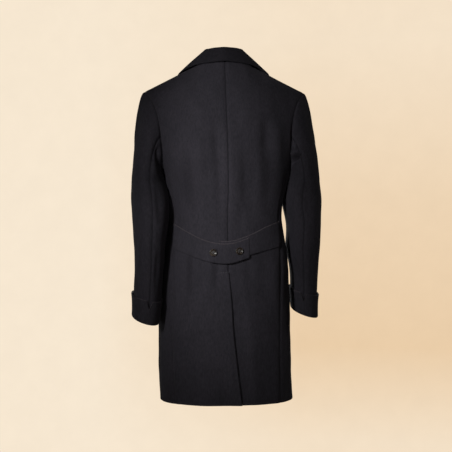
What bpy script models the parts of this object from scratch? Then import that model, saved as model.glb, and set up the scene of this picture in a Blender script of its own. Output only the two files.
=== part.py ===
import math

import bpy
import numpy as np

# Double-breasted coat in its worn, hollow shape.
# Metres, +Z up, front faces -Y, wearer's left is +X.
# Origin: between the shoulders, level with the foot of the collar.

# Cloth wall, half the gap of a sewn seam, air below a laid piece.
WALL = 0.0025
SEAM = 0.00016
LAY = 0.0008
# The same seam gaps as shares of a panel's columns, and as an angle.
SEAM_CENTRE = 0.0009
SEAM_BACK = 0.0012
SEAM_FRONT = 0.0016
SEAM_SIDE = 0.0022
TOP_ROW = 0.9985
CHEST_Z = -0.262
HEM_Z = -0.925
SECTION_POWER = 2.3

# Body sections, one row per height: z, half width, depth behind and before
# the side, sideways shift, angle of the side-back seam from centre back.
BODY = (
    (-0.925, 0.189, 0.128, 0.134, -0.001, 48.0),
    (-0.790, 0.189, 0.125, 0.131, 0.0035, 49.0),
    (-0.720, 0.188, 0.123, 0.129, 0.0045, 50.0),
    (-0.650, 0.184, 0.121, 0.127, 0.002, 51.0),
    (-0.560, 0.180, 0.116, 0.122, 0.002, 54.0),
    (-0.490, 0.173, 0.110, 0.117, 0.002, 57.0),
    (-0.400, 0.162, 0.103, 0.114, 0.002, 62.0),
    (-0.330, 0.169, 0.108, 0.122, 0.000, 66.0),
    (-0.262, 0.188, 0.118, 0.130, 0.000, 70.0),
)
SIDE_FRONT_ANGLE = 112.0

# Rows of every panel below the chest: -1 is the hem, 0 the chest.
LOW_ROWS = (
    -1.0, -0.885, -0.77, -0.66, -0.55, -0.4555, -0.4435, -0.40, -0.34, -0.28, -0.22, -0.1626, -0.0812, 0.0,
)
SHARED_ROWS = 12

# Neck and shoulder points.
NECK_BACK = (0.000, 0.070, 0.026)
NECK_CORNER = (0.078, 0.020, 0.020)
NECK_FRONT = (0.000, -0.075, -0.070)
SHOULDER_POINT = (0.230, 0.004, -0.054)
NECK_SHARE = 0.38

# How each column arrives at the neck and shoulder line, by share of the
# way from the centre to the armhole: share, x, y, z.
ARRIVE_BACK = (
    (-0.38, 0.010, -0.190, 0.070),
    (0.00, 0.000, -0.070, 0.170),
    (0.38, -0.010, -0.190, 0.070),
    (0.70, 0.050, -0.190, 0.060),
    (1.00, 0.140, -0.165, 0.120),
)
ARRIVE_FRONT = (
    (-0.38, 0.010, 0.190, 0.080),
    (0.00, 0.000, 0.060, 0.170),
    (0.38, -0.010, 0.190, 0.080),
    (0.70, 0.050, 0.190, 0.060),
    (1.00, 0.140, 0.160, 0.120),
)
# The neck stands a little to the wearer's left of the waist.
NECK_SHIFT = 0.008
LEAN_FROM_Z = -0.360
LEAN_FULL_Z = 0.030
LEAN_LESS_ASIDE = 0.4
LEAVE_LENGTH = 0.230
ARMHOLE_BULGE = 0.110

# Largest folds of the cloth, one row each: panel, sideways place at the
# top and bottom, top, bottom, half width, depth (out is positive).
FOLDS = (
    ("back", 0.012, 0.008, -0.150, -0.480, 0.016, -0.0030),
    ("back", 0.058, 0.056, -0.190, -0.470, 0.018, -0.0035),
    ("back", 0.108, 0.098, -0.170, -0.460, 0.018, -0.0040),
    ("back", -0.072, -0.062, -0.190, -0.470, 0.020, -0.0035),
    ("back", -0.125, -0.105, -0.200, -0.450, 0.016, -0.0030),
    ("back", 0.080, 0.092, -0.510, -0.700, 0.022, -0.0035),
    ("back", -0.090, -0.100, -0.510, -0.720, 0.024, -0.0035),
    ("front", 0.105, 0.120, -0.420, -0.720, 0.024, -0.0035),
    ("front", -0.110, -0.125, -0.430, -0.740, 0.024, -0.0035),
)

# Centre-back vent: the left back laps over the right.
VENT_TOP_Z = -0.560
VENT_EDGE_TOP = -0.003
VENT_EDGE_HEM = -0.036
UNDERLAP_TOP = 0.038
UNDERLAP_HEM = 0.011
VENT_INSET = 0.0036
VENT_RAMP = 0.045
VENT_FLAT = 0.020
VENT_SINK = 0.030

# Front lap and roll line.
FRONT_EDGE = 0.080
BREAK_Z = -0.330
FRONT_INSET = 0.0095
FRONT_RAMP = 0.070
GORGE_SHARE = 0.74
LAPEL_LAY = 0.0021
LAPEL_ROLL_RISE = 0.0022
LAPEL_ROLL_FROM = 0.80
# Outer edge of a lapel: share of its length, sideways place and height.
LAPEL_EDGE = (
    (0.00, -0.064, -0.318),
    (0.35, 0.034, -0.240),
    (0.70, 0.116, -0.155),
    (1.00, 0.170, -0.070),
)

# Collar, half of it from centre back: share of its length, roll point.
COLLAR_ROLL = (
    (0.00, 0.000, 0.062, 0.060),
    (0.25, 0.036, 0.050, 0.059),
    (0.50, 0.052, 0.016, 0.056),
    (0.75, 0.055, -0.032, 0.013),
    (1.00, 0.044, -0.074, -0.054),
)
# Where the fall ends: share, column and row on the back with its lift,
# then share, sideways place and height on the front with its lift.
FALL_BACK = (
    (0.00, 0.00, 0.960, 0.0120),
    (0.25, 0.33, 0.930, 0.0080),
    (0.50, 0.58, 0.999, 0.0050),
)
FALL_FRONT = (
    (0.50, 0.58, 0.999, 0.0050),
    (0.75, 0.62, 0.860, 0.0070),
    (1.00, 0.57, 0.730, 0.0070),
)
FALL_POINT = (0.128, -0.062)
ROLL_RADIUS = 0.0036
FALL_BULGE = 0.0015
FALL_BULGE_FRONT = 0.0090
# Clearance of the collar's foot from the panels, behind and before the neck.
FOOT_CLEAR_BACK = 0.0001
FOOT_CLEAR_FRONT = 0.0040
FOOT_PAST_GORGE = 0.014

# Sleeves, one row per height: z, centre across, centre depth, half width,
# half depth. The right one hangs a little straighter.
SLEEVE_LEFT = (
    (-0.310, 0.2228, 0.014, 0.0442, 0.076),
    (-0.360, 0.2177, 0.036, 0.0508, 0.074),
    (-0.430, 0.2152, 0.053, 0.0493, 0.071),
    (-0.500, 0.2166, 0.058, 0.0426, 0.066),
    (-0.560, 0.2181, 0.058, 0.0396, 0.062),
    (-0.630, 0.2220, 0.056, 0.0375, 0.058),
    (-0.690, 0.2278, 0.054, 0.0352, 0.056),
)
SLEEVE_RIGHT = (
    (-0.310, 0.2230, 0.000, 0.0450, 0.076),
    (-0.360, 0.2208, -0.014, 0.0548, 0.074),
    (-0.430, 0.2258, -0.018, 0.0497, 0.071),
    (-0.500, 0.2240, -0.022, 0.0485, 0.066),
    (-0.560, 0.2261, -0.026, 0.0411, 0.062),
    (-0.630, 0.2268, -0.028, 0.0373, 0.058),
    (-0.680, 0.2291, -0.030, 0.0361, 0.056),
)
SLEEVE_POWER = 2.2
HEAD_REACH_LEFT = 0.070
HEAD_REACH_RIGHT = 0.046
UNDERARM_REACH = 0.034
HEAD_SPREAD = 0.030
HEAD_DROP = 0.020
HEAD_LEAD = 0.0010
HEAD_ARRIVE_ASIDE = 0.010
HEAD_ARRIVE_DOWN = 1.35
HIND_SEAM = 100.0
FORE_SEAM = 236.0
SEAM_TURN = 0.16
CUFF_TILT_ACROSS = 0.012
CUFF_TILT_BACK = 0.010
CUFF_TALL = 0.062
CUFF_FLARE = 0.0045
NOTCH_TURN = 11.0
NOTCH_DEEP = 0.023

# Half-belt, one row per sideways place: x, z of its middle, half height.
BELT = (
    (-0.155, -0.462, 0.036),
    (-0.115, -0.474, 0.034),
    (-0.060, -0.494, 0.028),
    (0.000, -0.511, 0.0275),
    (0.060, -0.504, 0.0285),
    (0.115, -0.481, 0.032),
    (0.155, -0.460, 0.036),
)
BELT_SEWN = 0.152
BELT_RIGHT_RISE = 0.007
BELT_CLEAR = 0.0006
BELT_STEP_FROM = 0.030
BELT_STEP_LENGTH = 0.022
BELT_LEFT_END = -0.056
BELT_RIGHT_END = 0.027
BELT_BUTTONS = (("left", 0.041), ("right", -0.029))
BELT_BUTTON_RADIUS = 0.0105
FRONT_BUTTON_RADIUS = 0.0125
BUTTON_THICK = 0.0045
BUTTON_CLEAR = 0.0004
# Button profile from its back to its dished face: shares of radius and thickness.
BUTTON_PROFILE = ((0.80, 0.0), (1.00, 0.45), (0.90, 1.00), (0.72, 0.80))
BUTTON_DISH = 0.72
BUTTON_SIDES = 18
FRONT_BUTTON_ROWS = (("top", -0.350), ("middle", -0.460), ("low", -0.570))
FRONT_BUTTON_ACROSS = 0.060

NAVY = (0.020, 0.020, 0.027)
HORN = (0.016, 0.012, 0.010)


def smooth_table(rows, place):
    """Values of a table at the given places, joined by smooth cubics."""
    data = np.array(rows, dtype=float)
    order = np.argsort(data[:, 0])
    data = data[order]
    key = data[:, 0]
    slope = np.gradient(data[:, 1:], key, axis=0)
    place = np.clip(np.asarray(place, dtype=float), key[0], key[-1])
    low = np.clip(np.searchsorted(key, place) - 1, 0, len(key) - 2)
    step = key[low + 1] - key[low]
    s = ((place - key[low]) / step)[..., None]
    step = step[..., None]
    first = data[low, 1:] * (1 + 2 * s) * (1 - s) ** 2
    second = data[low + 1, 1:] * s ** 2 * (3 - 2 * s)
    bend = slope[low] * s * (1 - s) ** 2 + slope[low + 1] * s ** 2 * (s - 1)
    return first + second + bend * step


def smooth_step(value):
    value = np.clip(value, 0.0, 1.0)
    return value * value * (3.0 - 2.0 * value)


def hermite(start, leave, end, arrive, s):
    s = s[..., None]
    h_start = (1 + 2 * s) * (1 - s) ** 2
    h_leave = s * (1 - s) ** 2
    h_end = s ** 2 * (3 - 2 * s)
    h_arrive = s ** 2 * (s - 1)
    return h_start * start + h_leave * leave + h_end * end + h_arrive * arrive


def unit(vectors):
    length = np.linalg.norm(vectors, axis=-1, keepdims=True)
    return vectors / np.maximum(length, 1e-9)


def ring_point(angle, z):
    """Point of the body's section at a height, angle from centre back."""
    half, back, front, shift, _ = np.moveaxis(smooth_table(BODY, z), -1, 0)
    across = np.sin(angle)
    along = np.cos(angle)
    total = np.abs(across) ** SECTION_POWER + np.abs(along) ** SECTION_POWER
    reach = total ** (-1.0 / SECTION_POWER)
    depth = np.where(along > 0, back, front)
    return np.stack([shift + half * across * reach, depth * along * reach, z], axis=-1)


def ring_normal(angle, z):
    """Outward unit normal of the body below the chest."""
    around = ring_point(angle + 0.002, z) - ring_point(angle - 0.002, z)
    up = ring_point(angle, np.minimum(z + 0.002, CHEST_Z)) - ring_point(angle, z - 0.002)
    normal = unit(np.cross(around, up))
    outward = ring_point(angle, z) * np.array([1.0, 1.0, 0.0])
    return normal * np.sign(np.sum(normal * outward, axis=-1, keepdims=True))


def column_angle(side, column, z):
    seam = np.radians(smooth_table(BODY, z)[..., 4])
    if side == "back":
        return column * seam
    return math.pi - column * (math.pi - math.radians(SIDE_FRONT_ANGLE))


def lower_point(side, column, z):
    return ring_point(column_angle(side, column, z), z)


def top_point(side, column):
    """Neck curve up to the neck corner, then the shoulder line."""
    centre = np.array(NECK_BACK if side == "back" else NECK_FRONT)
    corner = np.array(NECK_CORNER)
    point = np.array(SHOULDER_POINT)
    turn = np.clip(column / NECK_SHARE, 0, 1)[..., None] * math.pi / 2
    neck = centre * np.cos(turn)
    neck = neck + corner * np.array([0, 1, 1]) * (1 - np.cos(turn))
    neck = neck + corner * np.array([1, 0, 0]) * np.sin(turn)
    share = np.clip((column - NECK_SHARE) / (1 - NECK_SHARE), 0, 1)[..., None]
    shoulder = corner + (point - corner) * share
    return np.where(column[..., None] < NECK_SHARE, neck, shoulder)


def fold_lift(side, points):
    """Depth of the largest folds at each point of a panel."""
    lift = np.zeros(points.shape[:-1])
    for panel, top_x, low_x, top, low, width, deep in FOLDS:
        if panel != side:
            continue
        share = (points[..., 2] - low) / (top - low)
        middle = low_x + (top_x - low_x) * share
        across = np.exp(-((points[..., 0] - middle) / width) ** 2)
        along = np.sin(math.pi * np.clip(share, 0, 1)) ** 2
        lift = lift + deep * across * along
    return lift


def plain_body(side, column, row):
    """Body before its folds. Row -1 is the hem, 0 the chest, 1 the top."""
    column, row = np.broadcast_arrays(np.asarray(column, float), np.asarray(row, float))
    mirror = np.where(column < 0, -1.0, 1.0)
    z = CHEST_Z + np.minimum(row, 0.0) * (CHEST_Z - HEM_Z)
    low = lower_point(side, column, z)
    away = np.abs(column)
    chest = np.full(column.shape, CHEST_Z)
    base = lower_point(side, away, chest)
    below = lower_point(side, away, chest - 0.004)
    leave = (base - below) / 0.004 * LEAVE_LENGTH
    way = 1.0 if side == "back" else -1.0
    leave[..., 1] += way * ARMHOLE_BULGE * away ** 3
    leave[..., 0] *= 1.0 - 0.9 * away ** 2
    arrive = smooth_table(ARRIVE_BACK if side == "back" else ARRIVE_FRONT, away)
    high = hermite(base, leave, top_point(side, away), arrive, np.clip(row, 0, 1))
    high[..., 0] *= mirror
    return np.where(row[..., None] > 0, high, low)


def body_normal(side, column, row):
    """Outward unit normal of the body, shared by both panels at the shoulder."""
    own = panel_normal(side, column, row)
    top = np.ones(np.shape(own)[:-1])
    both = panel_normal("back", column + 0 * top, top) + panel_normal("front", column + 0 * top, top)
    near = smooth_step((np.asarray(row) - 0.88) / 0.11) * smooth_step((np.abs(column) - 0.30) / 0.08)
    near = np.broadcast_to(near, top.shape)[..., None]
    return unit(own * (1 - near) + unit(both) * near)


def panel_normal(side, column, row):
    step = 0.004
    across = plain_body(side, column + step, row) - plain_body(side, column - step, row)
    up = plain_body(side, column, np.minimum(row + step, 1.0))
    up = up - plain_body(side, column, np.maximum(row - step, -1.0))
    normal = unit(np.cross(across, up))
    way = 1.0 if side == "back" else -1.0
    facing = np.sign(normal[..., 1:2] * way)
    return normal * np.where(facing == 0, 1.0, facing)


def body(side, column, row, lift=0.0):
    """Outer face of the cloth, moved out by lift along its normal."""
    column, row = np.broadcast_arrays(np.asarray(column, float), np.asarray(row, float))
    points = plain_body(side, column, row)
    normal = body_normal(side, column, row)
    total = fold_lift(side, points) + lift
    return points + normal * total[..., None]


def row_of(z):
    return (z - CHEST_Z) / (CHEST_Z - HEM_Z)


def column_at(side, x, z):
    """Column that stands at sideways place x at a height below the chest."""
    guess = np.linspace(-1.2, 1.2, 241)
    x, z = np.broadcast_arrays(np.asarray(x, float), np.asarray(z, float))
    found = np.empty(x.shape)
    for spot in np.ndindex(x.shape):
        line = lower_point(side, guess, np.full(guess.shape, z[spot]))[:, 0]
        found[spot] = np.interp(x[spot], line, guess)
    return found


def grid_normal(points, outward):
    """Unit normals of a grid of points, turned to agree with outward."""
    normal = unit(np.cross(np.gradient(points, axis=1), np.gradient(points, axis=0)))
    side = np.sum(normal * outward)
    return normal if side > 0 else -normal


def add_material(name, colour, roughness):
    material = bpy.data.materials.new(name)
    material.use_nodes = True
    shader = material.node_tree.nodes["Principled BSDF"]
    shader.inputs["Base Color"].default_value = (*colour, 1.0)
    shader.inputs["Roughness"].default_value = roughness
    shader.inputs["Metallic"].default_value = 0.0
    material.diffuse_color = (*colour, 1.0)
    return material


def add_object(name, vertices, faces, colour, roughness):
    mesh = bpy.data.meshes.new(name)
    mesh.from_pydata([tuple(v) for v in vertices], [], faces)
    mesh.update()
    item = bpy.data.objects.new(name, mesh)
    bpy.context.scene.collection.objects.link(item)
    item.data.materials.append(add_material(name + "_finish", colour, roughness))
    return item


def signed_volume(vertices, faces):
    total = 0.0
    for face in faces:
        for second, third in zip(face[1:-1], face[2:]):
            total += np.dot(vertices[face[0]], np.cross(vertices[second], vertices[third]))
    return total / 6.0


def lean(points):
    """Upper part of the coat moved sideways, most at the neck."""
    high = smooth_step((points[..., 2] - LEAN_FROM_Z) / (LEAN_FULL_Z - LEAN_FROM_Z))
    aside = 1.0 - LEAN_LESS_ASIDE * (points[..., 0] / SHOULDER_POINT[0]) ** 2
    moved = points.copy()
    moved[..., 0] += NECK_SHIFT * high * aside
    return moved


def add_wall(name, outer, inner, wrap=False):
    """Closed cloth wall between the grids of its outer and inner faces."""
    outer = lean(outer)
    inner = lean(inner)
    rows, columns = outer.shape[:2]
    vertices = np.concatenate([outer.reshape(-1, 3), inner.reshape(-1, 3)])
    count = rows * columns
    faces = []
    spans = columns if wrap else columns - 1
    for r in range(rows - 1):
        for c in range(spans):
            n = (c + 1) % columns
            a = r * columns + c
            b = r * columns + n
            faces.append((a, b, b + columns, a + columns))
            faces.append((count + a, count + a + columns, count + b + columns, count + b))
    for c in range(spans):
        n = (c + 1) % columns
        last = (rows - 1) * columns
        faces.append((n, c, count + c, count + n))
        faces.append((last + c, last + n, count + last + n, count + last + c))
    if not wrap:
        for r in range(rows - 1):
            here = r * columns
            above = here + columns
            end = columns - 1
            faces.append((here, above, count + above, count + here))
            faces.append((above + end, here + end, count + here + end, count + above + end))
    faces = [half for a, b, c, d in faces for half in ((a, b, c), (a, c, d))]
    if signed_volume(vertices, faces) < 0:
        faces = [tuple(reversed(face)) for face in faces]
    return add_object(name, vertices, faces, NAVY, 0.9)


def outward_from_axis(points):
    """Direction away from the body's upright axis."""
    away = points.copy()
    away[..., 2] = 0.0
    return unit(away)


def spread(start, end, count):
    return np.linspace(start, end, count)


def build_backs():
    high_rows = np.array([0.16, 0.32, 0.48, 0.64, 0.78, 0.90, TOP_ROW])
    rows = np.concatenate([LOW_ROWS, high_rows])
    z = CHEST_Z + np.minimum(rows, 0.0) * (CHEST_Z - HEM_Z)
    fall = np.clip((VENT_TOP_Z - z) / (VENT_TOP_Z - HEM_Z), 0, 1)
    open_here = z < VENT_TOP_Z
    edge_x = np.where(open_here, VENT_EDGE_TOP + (VENT_EDGE_HEM - VENT_EDGE_TOP) * fall, SEAM)
    under_x = np.where(open_here, UNDERLAP_TOP + (UNDERLAP_HEM - UNDERLAP_TOP) * fall, -SEAM)
    share = spread(0.0, 1.0, 11)
    end = 1.0 - SEAM_BACK
    for name, side_sign, start_x in (("back_left", 1, edge_x), ("back_right", -1, under_x)):
        shift = smooth_table(BODY, z)[:, 3]
        start = np.where(rows > 0, np.sign(start_x) * SEAM_CENTRE, column_at("back", start_x + shift, z))
        columns = start[:, None] + (side_sign * end - start[:, None]) * share[None, :]
        row_grid = np.repeat(rows[:, None], share.size, axis=1)
        lift = np.zeros(columns.shape)
        if side_sign < 0:
            across = plain_body("back", columns, row_grid)[..., 0] - edge_x[:, None]
            cover = smooth_step((across + VENT_RAMP) / (VENT_RAMP - VENT_FLAT))
            sink = smooth_step((VENT_TOP_Z + VENT_SINK - z) / VENT_SINK)[:, None]
            lift = -VENT_INSET * cover * sink
        outer = body("back", columns, row_grid, lift)
        add_wall(name, outer, body("back", columns, row_grid, lift - WALL))


def build_sides():
    rows = np.array(LOW_ROWS)
    share = spread(0.0, 1.0, 6)
    z = CHEST_Z + rows * (CHEST_Z - HEM_Z)
    seam = np.radians(smooth_table(BODY, z)[:, 4])
    front_seam = math.radians(SIDE_FRONT_ANGLE)
    start = seam + SEAM_SIDE
    end = front_seam - SEAM_SIDE
    angle = start[:, None] + (end - start)[:, None] * share[None, :]
    height = np.repeat(z[:, None], share.size, axis=1)
    for name, sign in (("side_left", 1), ("side_right", -1)):
        outer = ring_point(sign * angle, height)
        add_wall(name, outer, outer - ring_normal(sign * angle, height) * WALL)


def roll_line_row(column):
    """Row at which a front column meets the roll line."""
    scan = np.concatenate([np.linspace(row_of(BREAK_Z) - 0.02, 0.0, 30), np.linspace(0.005, 1.0, 200)])
    corner = np.array(NECK_CORNER)
    column = np.atleast_1d(np.asarray(column, float))
    found = np.empty(column.shape)
    for spot, value in enumerate(column):
        line = plain_body("front", np.full(scan.shape, value), scan)
        rise = (line[:, 2] - BREAK_Z) / (corner[2] - BREAK_Z)
        beyond = (-FRONT_EDGE + (corner[0] + FRONT_EDGE) * rise) - line[:, 0]
        past = np.nonzero(beyond >= 0)[0]
        if value >= NECK_SHARE or past.size == 0:
            found[spot] = 1.0
        elif past[0] == 0:
            found[spot] = scan[0]
        else:
            i = past[0]
            part = -beyond[i - 1] / (beyond[i] - beyond[i - 1])
            found[spot] = scan[i - 1] + (scan[i] - scan[i - 1]) * part
    return found


def front_face(side_sign, columns, rows, lift=0.0):
    """Front panel's outer face. The right one dips below the left one."""
    points = body("front", columns, rows, lift)
    if side_sign > 0:
        return points
    mirrored = points * np.array([-1.0, 1.0, 1.0])
    shift = np.where(rows > 0, 0.0, smooth_table(BODY, points[..., 2])[..., 3])
    mirrored[..., 0] += 2.0 * shift
    cover = smooth_step((mirrored[..., 0] + FRONT_EDGE + FRONT_RAMP) / (FRONT_RAMP - 0.004))
    normal = body_normal("front", columns, rows) * np.array([-1.0, 1.0, 1.0])
    return mirrored - normal * (FRONT_INSET * cover)[..., None]


def front_grid():
    """Columns and rows of a front, from the side seam to the front edge."""
    shared = np.array(LOW_ROWS[:SHARED_ROWS])
    above = np.array([0.07, 0.14, 0.28, 0.42, 0.56, 0.70, 0.83, 0.93, 1.0])
    edge_top = column_at("front", -FRONT_EDGE, np.array([BREAK_Z]))[0]
    outer = spread(1.0 - SEAM_FRONT, NECK_SHARE, 8)
    inner = spread(NECK_SHARE, edge_top, 8)[1:]
    columns = np.concatenate([outer, inner])
    top = np.where(columns >= NECK_SHARE, TOP_ROW, np.minimum(roll_line_row(columns), TOP_ROW))
    row_grid = np.empty((shared.size + above.size, columns.size))
    row_grid[:shared.size] = shared[:, None]
    row_grid[shared.size:] = shared[-1] + (top - shared[-1])[None, :] * above[:, None]
    column_grid = np.repeat(columns[None, :], row_grid.shape[0], axis=0)
    z = CHEST_Z + np.minimum(row_grid[:, -1], 0.0) * (CHEST_Z - HEM_Z)
    edge = column_at("front", np.full(z.shape, -FRONT_EDGE), z)
    share = (columns - 1.0) / (edge_top - 1.0)
    column_grid = column_grid + (edge - edge_top)[:, None] * (share ** 2)[None, :]
    return column_grid, row_grid


def build_fronts():
    columns, rows = front_grid()
    for name, sign in (("front_left", 1), ("front_right", -1)):
        add_wall(name, front_face(sign, columns, rows), front_face(sign, columns, rows, -WALL))


def front_cell(x, z):
    """Column and row of the front at a sideways place and height."""
    x, z = np.broadcast_arrays(np.asarray(x, float), np.asarray(z, float))
    column = x / 0.190
    row = np.where(z < CHEST_Z, row_of(z), (z - CHEST_Z) / (NECK_CORNER[2] - CHEST_Z))
    step = 0.003
    for _ in range(30):
        here = plain_body("front", column, row)
        across = (plain_body("front", column + step, row) - here) / step
        up = (here - plain_body("front", column, row - step)) / step
        miss_x = x - here[..., 0]
        miss_z = z - here[..., 2]
        area = across[..., 0] * up[..., 2] - up[..., 0] * across[..., 2]
        area = np.where(np.abs(area) < 1e-4, 1e-4, area)
        column = column + np.clip((miss_x * up[..., 2] - up[..., 0] * miss_z) / area, -0.1, 0.1)
        row = row + np.clip((across[..., 0] * miss_z - miss_x * across[..., 2]) / area, -0.1, 0.1)
        row = np.clip(row, -1.0, 0.9995)
    return column, row


def roll_line(share):
    """Column and row of the roll line, from the break up to the neck."""
    share = np.asarray(share, float)
    x = -FRONT_EDGE + (NECK_CORNER[0] + FRONT_EDGE) * share
    z = BREAK_Z + (NECK_CORNER[2] - BREAK_Z) * share
    return front_cell(x, z)


def build_lapels():
    along = spread(0.0, 1.0, 13)
    out = np.array([0.0, 0.06, 0.2, 0.4, 0.6, 0.8, 1.0])
    share = along * GORGE_SHARE
    inner_x = -FRONT_EDGE + (NECK_CORNER[0] + FRONT_EDGE) * share
    inner_z = BREAK_Z + (NECK_CORNER[2] - BREAK_Z) * share
    edge = smooth_table(LAPEL_EDGE, along)
    x = inner_x[:, None] + (edge[:, 0] - inner_x)[:, None] * out[None, :]
    z = inner_z[:, None] + (edge[:, 1] - inner_z)[:, None] * out[None, :]
    columns, rows = front_cell(x, z)
    rise = smooth_step((along - LAPEL_ROLL_FROM) / (1 - LAPEL_ROLL_FROM))
    roll = LAPEL_ROLL_RISE * rise[:, None] * (1 - out)[None, :] ** 2
    for name, sign in (("lapel_left", 1), ("lapel_right", -1)):
        outer = front_face(sign, columns, rows, LAPEL_LAY + WALL + roll)
        add_wall(name, outer, front_face(sign, columns, rows, LAPEL_LAY + roll))


def collar_half():
    """Grid of the collar's show face for one half, centre back first."""
    share = spread(0.0, 1.0, 13)
    roll = smooth_table(COLLAR_ROLL, share)
    at_back = share <= 0.5
    late = smooth_step((share - 0.5) / 0.5) * smooth_step((share - 0.5) / 0.25)
    bulge = FALL_BULGE + (FALL_BULGE_FRONT - FALL_BULGE) * smooth_step((share - 0.55) / 0.25)[:, None]
    neck = np.clip(share / 0.5, 0, 1) * NECK_SHARE
    foot = (1.0 - GORGE_SHARE - FOOT_PAST_GORGE) * np.clip(share / 0.5 - 1.0, 0, 1)
    line_column, line_row = roll_line(1.0 - foot)
    seat = np.where(at_back[:, None], plain_body("back", neck, np.ones(share.size)),
                    plain_body("front", line_column, line_row))
    normal = np.where(at_back[:, None], body_normal("back", neck, np.ones(share.size)),
                      body_normal("front", line_column, line_row))
    into = unit(np.cross(np.gradient(seat, axis=0), normal))
    into = into * np.sign(np.sum(into * (roll - seat), axis=1, keepdims=True))
    stand = unit(seat * np.array([1.0, 1.0, 0.0]) - np.array([0.0, -0.010, 0.0]))
    to_front = smooth_step((share - 0.38) / 0.12)[:, None]
    clear = FOOT_CLEAR_BACK + (FOOT_CLEAR_FRONT - FOOT_CLEAR_BACK) * to_front
    base = seat + into * clear - stand * WALL
    back_end = smooth_table(FALL_BACK, share)
    front_end = smooth_table(FALL_FRONT, share)
    point_column, point_row = front_cell(*FALL_POINT)
    front_column = front_end[:, 0] + (point_column - FALL_FRONT[-1][1]) * late
    front_row = front_end[:, 1] + (point_row - FALL_FRONT[-1][2]) * late
    edge = np.where(at_back[:, None], body("back", back_end[:, 0], back_end[:, 1], back_end[:, 2]),
                    body("front", front_column, front_row, front_end[:, 2]))
    up = unit(roll - base)
    outward = edge - roll
    outward = unit(outward - np.sum(outward * up, axis=1, keepdims=True) * up)
    grid = [base + (roll - base) * s for s in (0.0, 0.5, 1.0)]
    centre = roll + outward * ROLL_RADIUS
    for turn in np.radians((45.0, 90.0, 135.0)):
        grid.append(centre - outward * ROLL_RADIUS * math.cos(turn) + up * ROLL_RADIUS * math.sin(turn))
    start = centre + outward * ROLL_RADIUS
    face = unit(np.cross(np.gradient(roll, axis=0), edge - start))
    face = face * np.sign(np.sum(face * stand, axis=1, keepdims=True))
    for s in (0.0, 0.25, 0.5, 0.75, 1.0):
        grid.append(start + (edge - start) * s + face * bulge * math.sin(math.pi * s))
    return np.stack(grid, axis=0)


def build_collar():
    half = collar_half()
    other = half[:, :0:-1] * np.array([-1.0, 1.0, 1.0])
    points = np.concatenate([other, half], axis=1)
    outward = np.zeros(points.shape)
    outward[6:] = outward_from_axis(points[6:])
    add_wall("collar", points, points - grid_normal(points, outward) * WALL)


def armhole(turn):
    """Armhole loop, half a turn from the shoulder point to the underarm."""
    fine = np.linspace(0.0, 1.0, 60)
    back = plain_body("back", np.ones(60), fine[::-1])
    seam = math.radians(BODY[-1][5])
    front_seam = math.radians(SIDE_FRONT_ANGLE)
    under = ring_point(seam + (front_seam - seam) * fine, np.full(60, CHEST_Z))
    front = plain_body("front", np.ones(60), fine)
    loop = np.concatenate([back[:-1], under[:-1], front])
    length = np.concatenate([[0.0], np.cumsum(np.linalg.norm(np.diff(loop, axis=0), axis=1))])
    share = np.mod(turn / (2 * math.pi), 1.0)
    return np.stack([np.interp(share, length / length[-1], loop[:, i]) for i in range(3)], axis=-1)


def sleeve_ring(table, turn, z, tilt_sign):
    """Section of a sleeve; its end is cut at a slant."""
    across, depth, half, deep = np.moveaxis(smooth_table(table, z), -1, 0)
    c = np.cos(turn)
    s = np.sin(turn)
    reach = (np.abs(c) ** SLEEVE_POWER + np.abs(s) ** SLEEVE_POWER) ** (-1.0 / SLEEVE_POWER)
    end = table[-1][0]
    slant = smooth_step((z - table[2][0]) / (end - table[2][0]))
    rise = slant * (tilt_sign * CUFF_TILT_ACROSS * c - CUFF_TILT_BACK * s)
    return np.stack([across + half * c * reach, depth + deep * s * reach, z + rise], axis=-1)


def sleeve_face(table, turn, place, tilt_sign):
    """Sleeve surface: place 0 to 1 is the head, 1 to 2 runs down to the cuff."""
    turn, place = np.broadcast_arrays(turn, place)
    top_z = table[0][0]
    end_z = table[-1][0]
    z = top_z + np.clip(place - 1.0, 0, 1) * (end_z - top_z)
    tube = sleeve_ring(table, turn, z, tilt_sign)
    start = armhole(turn)
    first = sleeve_ring(table, turn, np.full(turn.shape, top_z), tilt_sign)
    high = np.cos(turn / 2) ** 2
    low = 1.0 - high
    reach = HEAD_REACH_LEFT if tilt_sign > 0 else HEAD_REACH_RIGHT
    aside = reach * high + UNDERARM_REACH * low
    leave = np.stack([aside, HEAD_SPREAD * np.sin(turn), np.full(turn.shape, -HEAD_DROP)], axis=-1)
    drop = start[..., 2] - first[..., 2]
    arrive = np.stack([HEAD_ARRIVE_ASIDE * np.cos(turn), 0.0 * turn, -HEAD_ARRIVE_DOWN * drop], axis=-1)
    lead = unit(leave) * HEAD_LEAD
    head = hermite(start + lead, leave, first, arrive, np.clip(place, 0, 1))
    return np.where(place[..., None] < 1.0, head, tube)


def sleeve_normal(table, turn, place, tilt_sign):
    """Outward unit normal of a sleeve."""
    around = sleeve_face(table, turn + 0.004, place, tilt_sign)
    around = around - sleeve_face(table, turn - 0.004, place, tilt_sign)
    down = sleeve_face(table, turn, np.minimum(place + 0.004, 2.0), tilt_sign)
    down = down - sleeve_face(table, turn, np.maximum(place - 0.004, 0.0), tilt_sign)
    return unit(np.cross(down, around))


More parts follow.
